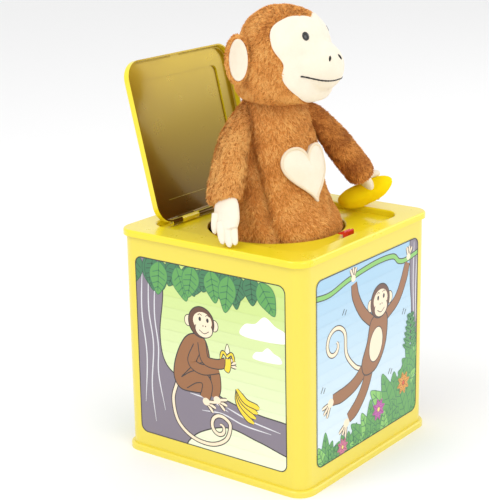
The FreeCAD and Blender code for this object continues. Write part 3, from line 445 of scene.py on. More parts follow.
def strands(heap, roots, normals, nap, length, width, lean, chance, tone=0.0, clump=4.0):
    """Pile: each strand is a narrow blade of three faces that leaves its root at an angle to
    the surface and bends over along the nap; neighbours share swirls of smooth noise."""
    count = len(roots)
    swirl = np.stack([waves(roots, clump, seed, 3) for seed in (11, 12, 13)], axis=-1)
    lay = nap + 0.75 * swirl + 0.28 * chance.normal(size=(count, 3))
    lay -= normals * np.sum(lay * normals, axis=1, keepdims=True)
    lay = unit(lay)
    side = np.cross(lay, normals)
    size = length * chance.uniform(0.65, 1.15, count)[:, None]
    half = 0.5 * width * chance.uniform(0.7, 1.2, count)[:, None]
    angle = lean + 0.12 * chance.normal(size=count)[:, None]
    middle = roots + size * 0.55 * (np.cos(angle) * normals + np.sin(angle) * lay)
    steep = angle + 0.45
    tip = middle + size * 0.5 * (np.cos(steep) * normals + np.sin(steep) * lay)
    twist = 0.3 * normals * chance.uniform(-1, 1, count)[:, None] * half
    points = np.stack([roots - side * half, roots + side * half, middle + side * half * 0.8 + twist,
                       middle - side * half * 0.8 - twist, tip], axis=1)
    start = np.arange(count)[:, None] * 5
    own = (0.11 * chance.normal(size=count) + 0.2 * waves(roots, clump * 4, 21, 2)
           + 0.12 * waves(roots, clump * 0.9, 22, 2) + tone)[:, None]
    # painted shade and light: each strand's tone rises from its shaded root to its lit tip
    shade = np.clip(own + np.array([0.22, 0.22, 0.52, 0.52, 0.78])[None, :], 0, 1)
    heap.points.append(points.reshape(-1, 3))
    quads = start + np.array([[0, 1, 2, 3]])
    tips = start + np.array([[3, 2, 4]])
    heap.corners.append((np.concatenate([quads, tips], axis=1) + heap.count).ravel())
    heap.sizes.append(np.tile([4, 3], count))
    heap.tones.append(shade.ravel())
    heap.count += count * 5


def between(a, b, c, d, t):
    """The Catmull-Rom curve from b to c at the share t: a cubic whose slope at each end is half
    the step between its neighbours."""
    return 0.5 * (2 * b + (c - a) * t + (2 * a - 5 * b + 4 * c - d) * t ** 2
                  + (3 * b - a - 3 * c + d) * t ** 3)


def smooth_path(points, count):
    """Points evenly along a Catmull-Rom curve through the given ones."""
    points = np.asarray(points, float)
    ends = np.concatenate([[2 * points[0] - points[1]], points, [2 * points[-1] - points[-2]]])
    place = np.linspace(0, len(points) - 1 - 1e-9, count)
    index, t = place.astype(int), (place % 1)[:, None]
    return between(*(ends[index + step] for step in range(4)), t)


def smooth_loop(points, count):
    """Points evenly along a closed Catmull-Rom curve."""
    points = np.asarray(points, float)
    place = np.linspace(0, len(points), count, endpoint=False)
    index, t = place.astype(int), (place % 1)[:, None]
    return between(*(points[(index + step) % len(points)] for step in (-1, 0, 1, 2)), t)


def interpolate(place, table):
    """A smooth value read from a table of (place, value) rows."""
    table = np.asarray(table, float)
    index = np.interp(place, table[:, 0], np.arange(len(table)))
    fine = smooth_path(table, 40 * len(table))
    return np.interp(index, np.linspace(0, len(table) - 1, len(fine)), fine[:, 1])


# ---------------------------------------------------------------- plush body
SLEEVE = [(6, 33), (14, 35), (40, 36), (100, 36), (122, 37), (134, 40.5), (142, 41.8), (148, 40.6),
          (156, 36.5), (166, 32.5), (180, 29.5), (192, 27),
          (205, 24.6), (213, 23), (219, 21.5), (224, 20), (227, 17)]


def wrapped(degrees):
    """An angle in degrees brought to the range -180 to 180."""
    return (degrees + 180) % 360 - 180


def torso_radius(azimuth, height):
    """The sleeve's radius at an azimuth in degrees (270 is the front) and a height: the profile,
    less two tucks that run down the right side and a slight hollow at the back right of the
    hole, with the small swells of stuffing. Tucks and hollow are bell curves across."""
    radius = interpolate(height, SLEEVE)
    crease = 179 + (199 - np.clip(height, 120, 212)) * 0.68
    across = np.radians(wrapped(azimuth - crease)) * radius
    depth = np.clip((208 - height) / 25, 0, 1) * np.clip((height - 60) / 60, 0, 1)
    radius = radius - 3.4 * depth * np.exp(-(across / 3.2) ** 2)
    radius = radius + 1.3 * depth * np.exp(-((across + 8) / 5) ** 2)
    second = np.radians(wrapped(azimuth - 196 - (190 - height) * 0.35)) * radius
    radius = radius - 1.5 * depth * np.exp(-(second / 2.4) ** 2) * np.clip((185 - height) / 20, 0, 1)
    slack = np.exp(-(wrapped(azimuth - 150) / 45) ** 2) * np.exp(-((height - 140) / 16) ** 2)
    radius = radius - slack
    around = np.radians(azimuth)
    place = np.stack([30 * np.cos(around), 30 * np.sin(around), height + 0 * around], axis=-1)
    return radius + 0.7 * waves(place, 40, 5, 3) * np.clip((height - 60) / 80, 0, 1)


def around_axis(azimuth, height, radius):
    """Places at an azimuth in degrees, a height and a distance from the sleeve's axis."""
    turn = np.radians(azimuth)
    return np.stack([radius * np.cos(turn), radius * np.sin(turn), height + 0 * radius], axis=-1)


def torso():
    """Sleeve of pile fabric: rings of points at rising heights, radius from torso_radius, with
    strands of pile that lie downwards above the deck."""
    chance = np.random.default_rng(101)
    heights = np.concatenate([np.linspace(6, 118, 24), np.linspace(120, 227, 116)])
    azimuth = np.linspace(0, 360, 200, endpoint=False)
    across, up = np.meshgrid(azimuth, heights)
    points = around_axis(across, up, torso_radius(across, up) - PILE)
    normals = grid_normals(points)
    heap = Heap()
    skin = closed(points, [0, 0, heights[0]], [0, 0, heights[-1]])
    # the skin under the pile takes a low tone: painted shade where it shows between the strands
    heap.add(skin, 0.3)
    roots, outward = sample_grid(points, normals, 52000, chance, keep=up > 126)
    strands(heap, roots, outward, np.array([0.25, -0.2, -1.0]), 2.6, 0.42, 1.0, chance, 0.06)
    close_up(heap.piece("torso_plush", golden_pile, "box", "brown_plush", "torso_sleeve", 0.6))


def close_up(piece):
    """Give a piece its own copy of its mesh."""
    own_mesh(piece)


def press_in(piece):
    """Give a piece at the left hand its own copy of its mesh."""
    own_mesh(piece)


def coil():
    """The puppet's spring: a helix of drawn wire about the axis. On the toy the spring closes up as the
    puppet goes down."""
    low, high = (np.array(corner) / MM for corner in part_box("puppet_spring"))
    wire, pitch = 1.1, 15.0
    foot_z, top_z = low[2] + wire, high[2] - wire
    turn = np.linspace(0, (top_z - foot_z) / pitch * TAU, 600)
    reach = (high[0] - low[0]) / 2 - wire
    path = np.stack([reach * np.cos(turn), reach * np.sin(turn), foot_z + turn / TAU * pitch], axis=1)
    heap = Heap()
    tube(heap, path, wire)
    spring = heap.piece("puppet_coil", spring_steel, "box", "steel", "puppet_spring")
    close_up(spring)


def heart_outline(count):
    """Heart in mm about its middle. Its width goes as 16 times the cube of the sine of the turn,
    its height as 13 cosines of the turn less 5 of twice, 2 of three times and 1 of four times
    the turn. Both are scaled, and the tip is drawn a little sideways."""
    t = np.linspace(0, TAU, count, endpoint=False)
    x = 16 * np.sin(t) ** 3
    y = 13 * np.cos(t) - 5 * np.cos(2 * t) - 2 * np.cos(3 * t) - np.cos(4 * t)
    return np.stack([1.14 * x - 0.07 * y, 1.15 * y], axis=-1)


def on_torso(flat, proud):
    """Carry (arc, height) places about the heart's middle on to the sleeve, proud of its base."""
    height = 182.4 + flat[..., 1]
    azimuth = 260.0 + np.degrees(flat[..., 0] / 28.5)
    return around_axis(azimuth, height, torso_radius(azimuth, height) + proud)


def heart():
    """Felt heart: rings of its outline drawn in to the middle, crowned, with a stitched rim."""
    outline = heart_outline(220)
    share = np.linspace(0, 1, 26) ** 0.8
    flat = outline[None] * share[:, None, None]
    crown = 0.9 + 0.9 * np.sqrt(np.clip(1 - share ** 2, 0, 1))
    rows = on_torso(flat, crown[:, None])
    skirt = on_torso(outline, np.full(220, -2.0))[None]
    rows = np.concatenate([rows, skirt])
    heap = Heap()
    rows = closed(rows, rows[0, 0], rows[-1].mean(axis=0))
    heap.add(rows, 0.5, rows[-1, 0])
    felt_heart = heap.piece("heart_felt", cream_felt, "box", "cream_plush", "heart_patch")
    satin = Heap()
    fine = heart_outline(1500)
    ridge = on_torso(fine * 0.985, np.full(1500, 1.15))
    satin_stitches(satin, ridge, 0.95, 0.62)
    rim = satin.piece("heart_satin_rim", seam_thread, "box", "cream_plush")
    for piece in (felt_heart, rim):
        close_up(piece)


def satin_stitches(heap, path, half_width, pitch):
    """A closed bead along the path whose height ripples once a stitch: each stitch is one lap
    of thread over the edge of the patch."""
    step = np.linalg.norm(np.roll(path, -1, axis=0) - path, axis=1)
    run = np.concatenate([[0], np.cumsum(step)[:-1]])
    swell = 1 + 0.16 * np.sin(run / pitch * TAU)
    along = np.roll(path, -1, axis=0) - np.roll(path, 1, axis=0)
    along = unit(along)
    out = path * [1, 1, 0]
    out = unit(out)
    side = np.cross(along, out)
    bead = rings(8, side, out, half_width, 0.75)
    points = path[:, None] + bead * swell[:, None, None]
    heap.add(points, 0.6, close_rows=True)


# head: radius and height of its outline, from the crown down under the jaw
HEAD = [(0, 280.3), (10, 278.7), (18, 274.3), (24, 268), (27.8, 260), (29.4, 251), (30.1, 244),
        (30.4, 238), (30.3, 232), (29.4, 227.5), (27, 224), (22, 221.8), (12, 220.2), (0, 219.8)]
HEAD_REACH = [(np.degrees(np.arctan2(out, up - head_centre[2])), np.hypot(out, up - head_centre[2]))
              for out, up in HEAD]


def head_surface(direction):
    """Distance to the head's surface along directions from its middle: the outline by angle from
    the crown, a little swollen at the brow, joined to the muzzle, an ellipsoid, by a soft
    maximum, which is the logarithm of the sum of both as powers."""
    x, y, z = (direction[..., axis] for axis in range(3))
    down = np.degrees(np.arccos(np.clip(z, -1, 1)))
    skull = interpolate(down, HEAD_REACH)
    skull = skull + 0.9 * np.exp(-((x / 0.8) ** 2 + ((z - 0.3) / 0.5) ** 2)) * np.clip(-y * 3, 0, 1)
    a = np.sum((direction / muzzle_radii) ** 2, axis=-1)
    b = np.sum(direction * muzzle_reach / muzzle_radii ** 2, axis=-1)
    c = np.sum((muzzle_reach / muzzle_radii) ** 2) - 1
    inside = b * b - a * c
    muzzle = np.where(b > 0, (b + np.sqrt(np.maximum(inside, 0))) / a, 0)
    muzzle = np.where(inside > 0, muzzle, 0.0)
    soft, usual = 1.1, 30.0
    joined = np.exp((skull - usual) / soft) + np.exp((muzzle - usual) / soft)
    return soft * np.log(joined) + usual


# face: how far from straight ahead the felt reaches, by the clock angle (0 to the puppet's
# right, 90 up); the notches are where the cheek meets the muzzle and at the brow
FACE = [(-90, 50), (-50, 53), (-24, 61), (-7, 57.5), (14, 71), (36, 77), (57, 67), (76, 55), (90, 48)]


def face_limit(clock):
    """The felt face's edge as an angle from straight ahead, the same on both sides."""
    folded = np.where(clock > 90, 180 - clock, np.where(clock < -90, -180 - clock, clock))
    return interpolate(folded, FACE)


def from_front(off, clock):
    """A direction that leaves straight ahead (-Y) by the angle off, towards the clock angle."""
    off, clock = np.radians(off), np.radians(clock)
    return np.stack([-np.sin(off) * np.cos(clock), -np.cos(off), np.sin(off) * np.sin(clock)], axis=-1)


def turned(offset):
    """Turn an offset in the head's own frame, which faces -Y, to where the head looks."""
    cos, sin = np.cos(head_turn), np.sin(head_turn)
    return np.stack([offset[..., 0] * cos - offset[..., 1] * sin,
                     offset[..., 0] * sin + offset[..., 1] * cos, offset[..., 2]], axis=-1)


def on_head(direction, proud=0.0):
    """The place on the head's surface along a direction in the head's own frame."""
    return head_centre + turned(direction * (head_surface(direction) + proud)[..., None])


def head():
    """Plush head: a grid of directions about the front, from the felt's edge to the nape, with
    pile that sweeps back from the face and down."""
    chance = np.random.default_rng(202)
    clock = np.linspace(-180, 180, 200, endpoint=False)
    share = np.linspace(0, 1, 110)
    limit = face_limit(clock) - 2.5
    off = limit[None, :] + (180 - limit[None, :]) * share[:, None]
    direction = from_front(off, clock[None, :])
    points = on_head(direction, -PILE + 0.5 * waves(direction * 30, 30, 8, 3))
    normals = grid_normals(points, turned(direction))
    heap = Heap()
    skin = closed(points, head_centre, points[-1, 0])
    # the skin under the pile takes a low tone: painted shade where it shows between the strands
    heap.add(skin, 0.3, head_centre)
    visible = (points[..., 2] > 217) & (off > limit[None, :] + 2.2)
    roots, outward = sample_grid(points, normals, 46000, chance, keep=visible)
    centred = roots - head_centre
    nap = centred * [0.25, 0.9, 0.1] / 30 + np.array([0, 0.35, -0.75])
    strands(heap, roots, outward, nap, 2.2, 0.42, 0.95, chance, 0.04)
    heap.piece("head_plush", golden_pile, "head", "brown_plush", "plush_head", 0.9)


def face_felt():
    """Felt face and muzzle in one piece: rings from straight ahead out to the edge, which tucks
    under the pile."""
    clock = np.linspace(-180, 180, 260, endpoint=False)
    share = np.concatenate([np.linspace(0.0, 1, 120), [1.02, 1.03]])
    limit = face_limit(clock)
    off = limit[None, :] * share[:, None]
    direction = from_front(off, clock[None, :])
    proud = 0.15 * waves(direction * 30, 14, 31, 3) + np.where(share > 1.01, -2.2, 0)[:, None]
    edge = np.exp(-((share[:, None] - 1) * 18) ** 2)
    points = on_head(direction, proud - 0.5 * edge)
    heap = Heap()
    points = closed(points, points[0, 0], head_centre)
    heap.add(points, 0.5, head_centre)
    heap.piece("face_felt", cream_felt, "head", "cream_plush", "plush_muzzle", 0.85)


def features():
    """Bead eyes, of which the left sits farther round the head, and stitched nostrils and mouth."""
    for side, name, round_by in ((-1, "right", 0), (1, "left", 5.2)):
        bead = Heap()
        aim = np.array([side * 12.6 + round_by, -23.6 + round_by, 12.3])
        aim = unit(aim)
        dome(bead, on_head(aim, -0.2), turned(aim), 2.35, 2.75, 1.1)
        bead.piece(f"eye_bead_{name}", black_bead, "head", "black_bead", f"eye_{name}")
    marks = Heap()
    for side in (-1, 1):
        steps = np.linspace(-1, 1, 9)[:, None]
        aims = np.array([side * 4.3 - 2.6, -37.0, -0.6]) + steps * np.array([-side * 0.9, 0, 1.5])
        aims = unit(aims)
        tube(marks, on_head(aims, -0.1), 0.75 * np.sqrt(np.clip(1 - 0.9 * steps[:, 0] ** 2, 0, 1)), 8)
    across = np.linspace(-1, 1, 110)
    smile = interpolate(np.abs(across), [(0, -13.5), (0.4, -13.8), (0.7, -12.5), (1, -9.5)])
    forward = interpolate(np.abs(across), [(0, -38.5), (0.4, -37), (0.75, -31), (1, -22)])
    smile = np.stack([across * 17.3, forward, smile], axis=-1)
    smile = unit(smile)
    tube(marks, on_head(smile, 0.1), 0.45 * (1 + 0.15 * np.sin(np.arange(110) * 1.3)), 8)
    marks.piece("nose_and_mouth_stitches", black_thread, "head", "black_bead")


def dome(heap, centre, aim, half_x, half_z, height):
    """A low domed bead: rings of an ellipse that rise to its middle, closed below."""
    side = np.cross(aim, [0, 0, 1])
    side = unit(side)
    over = np.cross(side, aim)
    tilt = np.linspace(-0.9, np.pi / 2, 16)
    turn = np.linspace(0, TAU, 36, endpoint=False)
    ring = half_x * np.cos(turn)[:, None] * side + half_z * np.sin(turn)[:, None] * over
    points = (centre + np.cos(tilt)[:, None, None] * ring[None]
              + (height * np.sin(tilt))[:, None, None] * aim)
    closing = np.broadcast_to(centre + height * np.sin(tilt[0]) * aim, (1,) + points.shape[1:])
    points = np.concatenate([closing, points])
    heap.add(points, 0.5)


def ear(side, name):
    """A stuffed disc: a flattened ball with a hollow of felt on its front side and pile behind."""
    chance = np.random.default_rng(303 + side)
    body_low, body_high = (np.array(corner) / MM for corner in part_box(f"ear_{name}"))
    centre = (body_low + body_high) / 2 + [side, 1.4, 2]
    turn = head_turn + np.radians(35 * side)
    out = np.array([np.cos(turn), np.sin(turn), 0]) * side
    face = np.array([np.sin(turn), -np.cos(turn), 0])
    up = np.array([0.0, 0, 1])
    tilt = np.linspace(-np.pi / 2, np.pi / 2, 60)
    spin = np.linspace(0, TAU, 90, endpoint=False)
    ring = np.cos(tilt)[:, None]
    wide = 7.1 * np.cos(spin)[None] * ring
    tall = 14.3 * np.sin(spin)[None] * ring
    thick = 3.6 * np.sin(tilt)[:, None] * np.ones_like(wide)
    hollow = np.clip(1 - (wide / 6.0) ** 2 - (tall / 12.8) ** 2, 0, 1)
    thick = np.where(thick > 0, thick - 2.0 * hollow ** 0.7, thick)
    points = centre + wide[..., None] * out + tall[..., None] * up + thick[..., None] * face
    normals = grid_normals(points, points - centre)
    inner = (thick > 0) & (hollow > 0.02)
    heap = Heap()
    # the skin under the pile takes a low tone: painted shade where it shows between the strands
    heap.add(points, 0.25)
    roots, outward = sample_grid(points, normals, 5200, chance, keep=~inner)
    nap = (roots - centre) / 12 * 0.6 + np.array([0, 0, -0.5])
    strands(heap, roots, outward, nap, 1.8, 0.45, 0.9, chance, 0.08)
    heap.piece(f"ear_plush_{name}", golden_pile, "head", "brown_plush", f"ear_{name}", 0.7)
    shell = Heap()
    reach = np.linspace(0, 1, 24)
    wide = 5.9 * np.cos(spin)[None] * reach[:, None]
    tall = 12.7 * np.sin(spin)[None] * reach[:, None]
    swell = 3.1 - 1.2 * (1 - reach[:, None] ** 2) * np.ones_like(wide)
    swell[-1] -= 1.6
    points = centre + wide[..., None] * out + tall[..., None] * up + swell[..., None] * face
    points = closed(points, points[0, 0], centre - face)
    shell.add(points, 0.5, centre - face)
    shell.piece(f"ear_felt_{name}", cream_felt, "head", "cream_plush")


def limb(node, name, path, widths, seed, tone):
    """A stuffed arm: rings about its centre line, flattened, drawn in at the ends, with pile
    that lies along it towards the hand."""
    chance = np.random.default_rng(seed)
    count, flat = 70, 0.75
    line = smooth_path(path, count)
    half = smooth_path(np.stack([widths, widths, widths], axis=1), count)[:, 0] / 2
    share = np.linspace(0, 1, count)
    cap = np.sqrt(np.clip(1 - np.clip((0.06 - share) / 0.06, 0, 1) ** 2, 0, 1))
    cap *= np.sqrt(np.clip(1 - np.clip((share - 0.93) / 0.07, 0, 1) ** 2, 0, 1))
    half = np.maximum(half * cap, 0.05) - PILE * 0.6 * cap
    along = unit(np.gradient(line, axis=0))
    outward = line * [1, 1, 0]
    outward -= along * np.sum(outward * along, axis=1, keepdims=True)
    outward = unit(outward)
    side = np.cross(along, outward)
    points = line[:, None] + half[:, None, None] * rings(72, side, outward, tall=flat)
    middle_out = points - line[:, None]
    points = points + 0.05 * waves(points, 22, seed, 3)[..., None] * middle_out
    normals = grid_normals(points, middle_out)
    heap = Heap()
    # the skin under the pile takes a low tone: painted shade where it shows between the strands
    heap.add(points, 0.25)
    roots, out = sample_grid(points, normals, 17000, chance)
    nearest = np.argmin(np.linalg.norm(roots[:, None, :] - line[None, ::6, :], axis=-1), axis=1)
    strands(heap, roots, out, along[::6][nearest], 2.8, 0.5, 0.95, chance, tone)
    heap.piece(name, golden_pile, node, "brown_plush", node, 0.7)


def hand(body, node, name, path, widths, fingers):
    """A felt hand: a flattened palm with short fingers along it, all one felt."""
    heap = Heap()
    line = smooth_path(path, 26)
    half = smooth_path(np.stack([widths, widths, widths], axis=1), 26)[:, 0] / 2
    outward = line.mean(axis=0) * [1, 1, 0]
    felt_tube(heap, line, half, 0.5, outward)
    for start, end, thick in fingers:
        middle = (np.array(start) + end) / 2 + unit(outward) * 0.6
        way = smooth_path([start, middle, end], 14)
        share = np.linspace(0, 1, 14)
        felt_tube(heap, way, thick / 2 * np.sqrt(np.clip(1 - share ** 4, 0, 1)) + 0.05, 0.8, outward)
    return heap.piece(name, cream_felt, body, "cream_plush", node, 0.6)


def felt_tube(heap, line, half, flat, outward):
    """A closed, flattened tube: its broad side faces outward."""
    along = unit(np.gradient(line, axis=0))
    thin = outward[None] - along * (along @ outward)[:, None]
    thin = unit(thin)
    side = np.cross(along, thin)
    half = np.concatenate([[0.01], half, [0.01]])
    line, side, thin = (np.concatenate([item[:1], item, item[-1:]]) for item in (line, side, thin))
    points = line[:, None] + half[:, None, None] * rings(32, side, thin, tall=flat)
    heap.add(points, 0.5)


def banana():
    """Plush banana: a five-sided softened tube along a bent line, drawn in at both tips."""
    line = smooth_path([(46, -15.5, 149.6), (51, -23.3, 151.3), (55.5, -30.2, 154.6),
                        (60, -37.2, 159.2), (64.2, -44.8, 164.4)], 60)
    share = np.linspace(-1, 1, 60)
    half = 7.1 * (1 - np.abs(share) ** 3.2) ** 0.62 + 0.05
    spin = np.linspace(0, TAU, 60, endpoint=False)
    _, side, over = along_and_across(line, (0, 0, 1))
    facet = 1 + 0.035 * np.cos(5 * spin)[None, :]
    points = line[:, None] + (half[:, None] * facet)[..., None] * rings(60, side, over)
    points += 0.25 * waves(points, 20, 61, 3)[..., None] * over[:, None]
    heap = Heap()
    heap.add(points, 0.5)
    press_in(heap.piece("banana_plush", banana_felt, "arm_left", "yellow_plush", "banana", 0.8))


# ---------------------------------------------------------------- printed pictures
class Print:
    """Flat inks laid one over another on a panel.  Places run 0 to 100 across and up it."""

    def __init__(self, width, height, corner):
        self.size = np.array([width, height]) / 100
        turn = np.linspace(0, np.pi / 2, 7)
        arc = np.stack([np.cos(turn), np.sin(turn)], axis=1) * corner
        edge = []
        for number, (x, y) in enumerate([(width, height), (0, height), (0, 0), (width, 0)]):
            spun = arc
            for _ in range(number):
                spun = np.stack([-spun[:, 1], spun[:, 0]], axis=1)
            middle = np.array([x - corner if x else corner, y - corner if y else corner])
            edge.append(middle + spun)
        self.edge = np.concatenate(edge)
        self.points, self.faces, self.inks, self.layer = [], [], [], 0

    def trim(self, loop):
        """Keep the part of a loop inside the panel: cut it by each of the edge's lines in turn."""
        if loop.min() > 6 and (loop.max(axis=0) < 100 * self.size - 6).all():
            return loop
        for start, end in zip(self.edge, np.roll(self.edge, -1, axis=0)):
            run = end - start
            if np.hypot(*run) < 1e-6 or len(loop) < 3:
                continue
            inside = run[0] * (loop[:, 1] - start[1]) - run[1] * (loop[:, 0] - start[0])
            if inside.min() >= -1e-9:
                continue
            kept = []
            for here, there, a, b in zip(loop, np.roll(loop, -1, axis=0), inside, np.roll(inside, -1)):
                if a >= 0:
                    kept.append(here)
                if a * b < 0:
                    kept.append(here + (there - here) * a / (a - b))
            loop = np.array(kept).reshape(-1, 2)
        return loop

    def lay(self, loop, ink):
        """Lay one closed shape, given in mm, as triangles of one ink."""
        loop = self.trim(loop)
        if len(loop) < 3:
            return
        triangles = tessellate_polygon([[Vector((x, y, 0)) for x, y in loop]])
        first = sum(len(item) for item in self.points)
        lift = np.full((len(loop), 1), 0.03 + 0.0008 * self.layer)
        self.points.append(np.concatenate([loop, lift], axis=1))
        for a, b, c in triangles:
            one, two = loop[b] - loop[a], loop[c] - loop[a]
            turned = one[0] * two[1] - one[1] * two[0] > 0
            b, c = (b, c) if turned else (c, b)
            self.faces.append((first + a, first + b, first + c))
        self.inks.append(np.tile((*ink, 1.0), (len(loop), 1)))
        self.layer += 1

    def fill(self, places, ink, smooth=True):
        """Lay a shape given in hundredths of the panel, rounded through its places or not."""
        loop = np.asarray(places, float) * self.size
        self.lay(smooth_loop(loop, 8 * len(loop)) if smooth else loop, ink)

    def stroke(self, places, width, ink, smooth=True, ends=(1.0, 1.0), closed=False):
        """A line of ink: both sides of a smooth path, as wide as width between its ends."""
        line = np.asarray(places, float) * self.size
        if smooth:
            line = smooth_loop(line, 8 * len(line)) if closed else smooth_path(line, 9 * len(line))
        if closed:
            line = np.concatenate([line, line[:1]])
        along = np.gradient(line, axis=0)
        if closed:
            along[0] = along[-1] = line[1] - line[-2]
        along = unit(along)
        side = np.stack([-along[:, 1], along[:, 0]], axis=1)
        share = np.linspace(0, 1, len(line))
        grow = ends[0] + (1 - ends[0]) * np.clip(share * 5, 0, 1)
        grow *= ends[1] + (1 - ends[1]) * np.clip((1 - share) * 5, 0, 1)
        half = width / 2 * grow[:, None]
        left, right = line + side * half, line - side * half
        level, step = self.layer, 1 if width > 3 else 6
        for start in range(0, len(line) - 1, step):
            part = slice(start, min(start + step + 1, len(line)))
            self.lay(np.concatenate([left[part], right[part][::-1]]), ink)
            self.layer = level
        self.layer = level + 1

    def shape(self, places, ink, line=0.7, outline=None, smooth=True):
        """A filled shape with an ink outline."""
        self.fill(places, ink, smooth)
        self.stroke(places, line, outline or INK, smooth, closed=True)

    def limb(self, places, width, ink, ends=(1.0, 1.0)):
        """A limb: a wide line of ink over a slightly wider dark one."""
        self.stroke(places, width + 1.3, INK, ends=ends)
        self.stroke(places, width, ink, ends=ends)

    def disc(self, x, y, wide, tall, ink, line=0.6, turn=0.0):
        """An ellipse turned by degrees, outlined unless line is 0."""
        spin = np.linspace(0, TAU, 12, endpoint=False)
        across, up = wide * np.cos(spin), tall * np.sin(spin)
        turn = np.radians(turn)
        places = np.stack([x + across * np.cos(turn) - up * np.sin(turn),
                           y + across * np.sin(turn) + up * np.cos(turn)], axis=1)
        if line:
            self.shape(places, ink, line)
        else:
            self.fill(places, ink)

    def leaf(self, x, y, length, wide, turn, ink, vein):
        """A pointed leaf from its stalk at x, y, with a midrib and paired veins."""
        share = np.array([0, 0.18, 0.45, 0.75, 1.0])
        half = np.array([0, 0.8, 1.0, 0.62, 0]) * wide / 2
        turn = np.radians(turn)
        run, rise = np.array([np.cos(turn), np.sin(turn)]), np.array([-np.sin(turn), np.cos(turn)])
        upper = [np.array([x, y]) + run * length * s + rise * h for s, h in zip(share, half)]
        lower = [np.array([x, y]) + run * length * s - rise * h for s, h in zip(share[1:-1], half[1:-1])]
        self.shape(upper + lower[::-1], ink, 0.45, vein)
        level = self.layer
        self.stroke([upper[0], np.array([x, y]) + run * length * 0.9], 0.55, vein, False)
        for s in (0.25, 0.42, 0.6, 0.76):
            root = np.array([x, y]) + run * length * s
            reach = np.interp(s, share, half) * 0.8
            for way in (-1, 1):
                self.layer = level
                self.stroke([root, root + run * length * 0.1 + rise * way * reach], 0.55, vein, False)

    def piece(self, name, place):
        """Put the panel on its wall: place carries (across, up, lift) in mm to the frame."""
        points = place(np.concatenate(self.points))
        faces = np.array(self.faces)
        panel = mesh_piece(name, points, faces.ravel(), np.full(len(faces), 3), litho_print, "box",
                           False, ink=np.concatenate(self.inks))


INK = linear(38, 30, 30)
BARK, BARK_LIGHT = linear(128, 118, 132), linear(222, 222, 226)
COAT, CAP, SKIN = linear(150, 96, 50), linear(98, 56, 32), linear(248, 228, 198)
LEAF_DARK, LEAF_MID, LEAF_LIGHT = linear(52, 120, 76), linear(88, 160, 76), linear(132, 196, 96)
WHITE, FRUIT = linear(250, 250, 250), linear(246, 214, 40)


def spiral(x, y, radius, turns, start):
    """Places along a spiral that winds in: the radius falls evenly with the angle."""
    share = np.linspace(0, 1, int(9 * turns) + 2)
    angle = np.radians(start) + share * turns * TAU
    reach = radius * (1 - 0.8 * share)
    return list(zip(x + reach * np.cos(angle), y + reach * np.sin(angle)))


def face(art, x, y, size, look):
    """A monkey's head: ears, coat, a light face with brows, eyes, nostrils and a smile."""
    for side in (-1, 1):
        art.disc(x + side * size * 1.02, y - 0.05 * size, 0.3 * size, 0.36 * size, SKIN, 0.5)
    art.disc(x, y, size, size * 0.98, CAP, 0.7)
    art.disc(x + look * 0.1 * size, y + 0.06 * size, 0.74 * size, 0.6 * size, SKIN, 0)
    art.disc(x + look * 0.2 * size, y - 0.42 * size, 0.68 * size, 0.52 * size, SKIN, 0.5)
    art.disc(x + look * 0.15 * size, y + 0.02 * size, 0.68 * size, 0.4 * size, SKIN, 0)
    for side in (-1, 1):
        middle = x + (look * 0.2 + side * 0.3) * size
        art.disc(middle, y + 0.2 * size, 0.1 * size, 0.14 * size, INK, 0)
        art.stroke([(middle - 0.16 * size, y + 0.44 * size), (middle, y + 0.52 * size),
                    (middle + 0.16 * size, y + 0.44 * size)], 0.45, INK)
        art.disc(x + (look * 0.24 + side * 0.1) * size, y - 0.2 * size, 0.045 * size, 0.05 * size, INK, 0)
    art.stroke([(x + (look * 0.2 - 0.38) * size, y - 0.5 * size), (x + look * 0.22 * size, y - 0.68 * size),
                (x + (look * 0.2 + 0.38) * size, y - 0.5 * size)], 0.5, INK)


def foot(art, x, y, turn, size, toes=3):
    """A light hand or foot: a palm with short fingers fanned about its direction."""
    for toe in np.linspace(-28, 28, toes):
        way = np.radians(turn + toe)
        art.limb([(x, y), (x + size * np.cos(way) * 0.6, y + size * np.sin(way) * 0.6),
                  (x + size * np.cos(way), y + size * np.sin(way))], 1.7, SKIN, (1, 0.6))
    art.disc(x, y, 0.34 * size, 0.3 * size, SKIN, 0)


def bush(art, x, y, size, seed):
    """A clump of broad leaves fanned upwards from one point."""
    chance = np.random.default_rng(seed)
    for turn in chance.permutation(np.linspace(18, 162, 7)):
        ink = LEAF_LIGHT if chance.random() < 0.45 else LEAF_MID
        art.leaf(x, y, size * chance.uniform(0.8, 1.1), size * 0.42, turn, ink, LEAF_DARK)


def bark(art, lines):
    """Light streaks along the wood."""
    for line in lines:
        art.stroke(line, 0.9, BARK_LIGHT, ends=(0.3, 0.3))


def sky(art, low, high):
    """Bands of tint from low to high."""
    for band in range(16):
        tint = np.array(low) + (np.array(high) - low) * band / 15
        art.fill([(-1, band * 6.25), (101, band * 6.25), (101, band * 6.25 + 6.3), (-1, band * 6.25 + 6.3)],
                 tint, False)
        art.layer = 0
    art.layer = 1


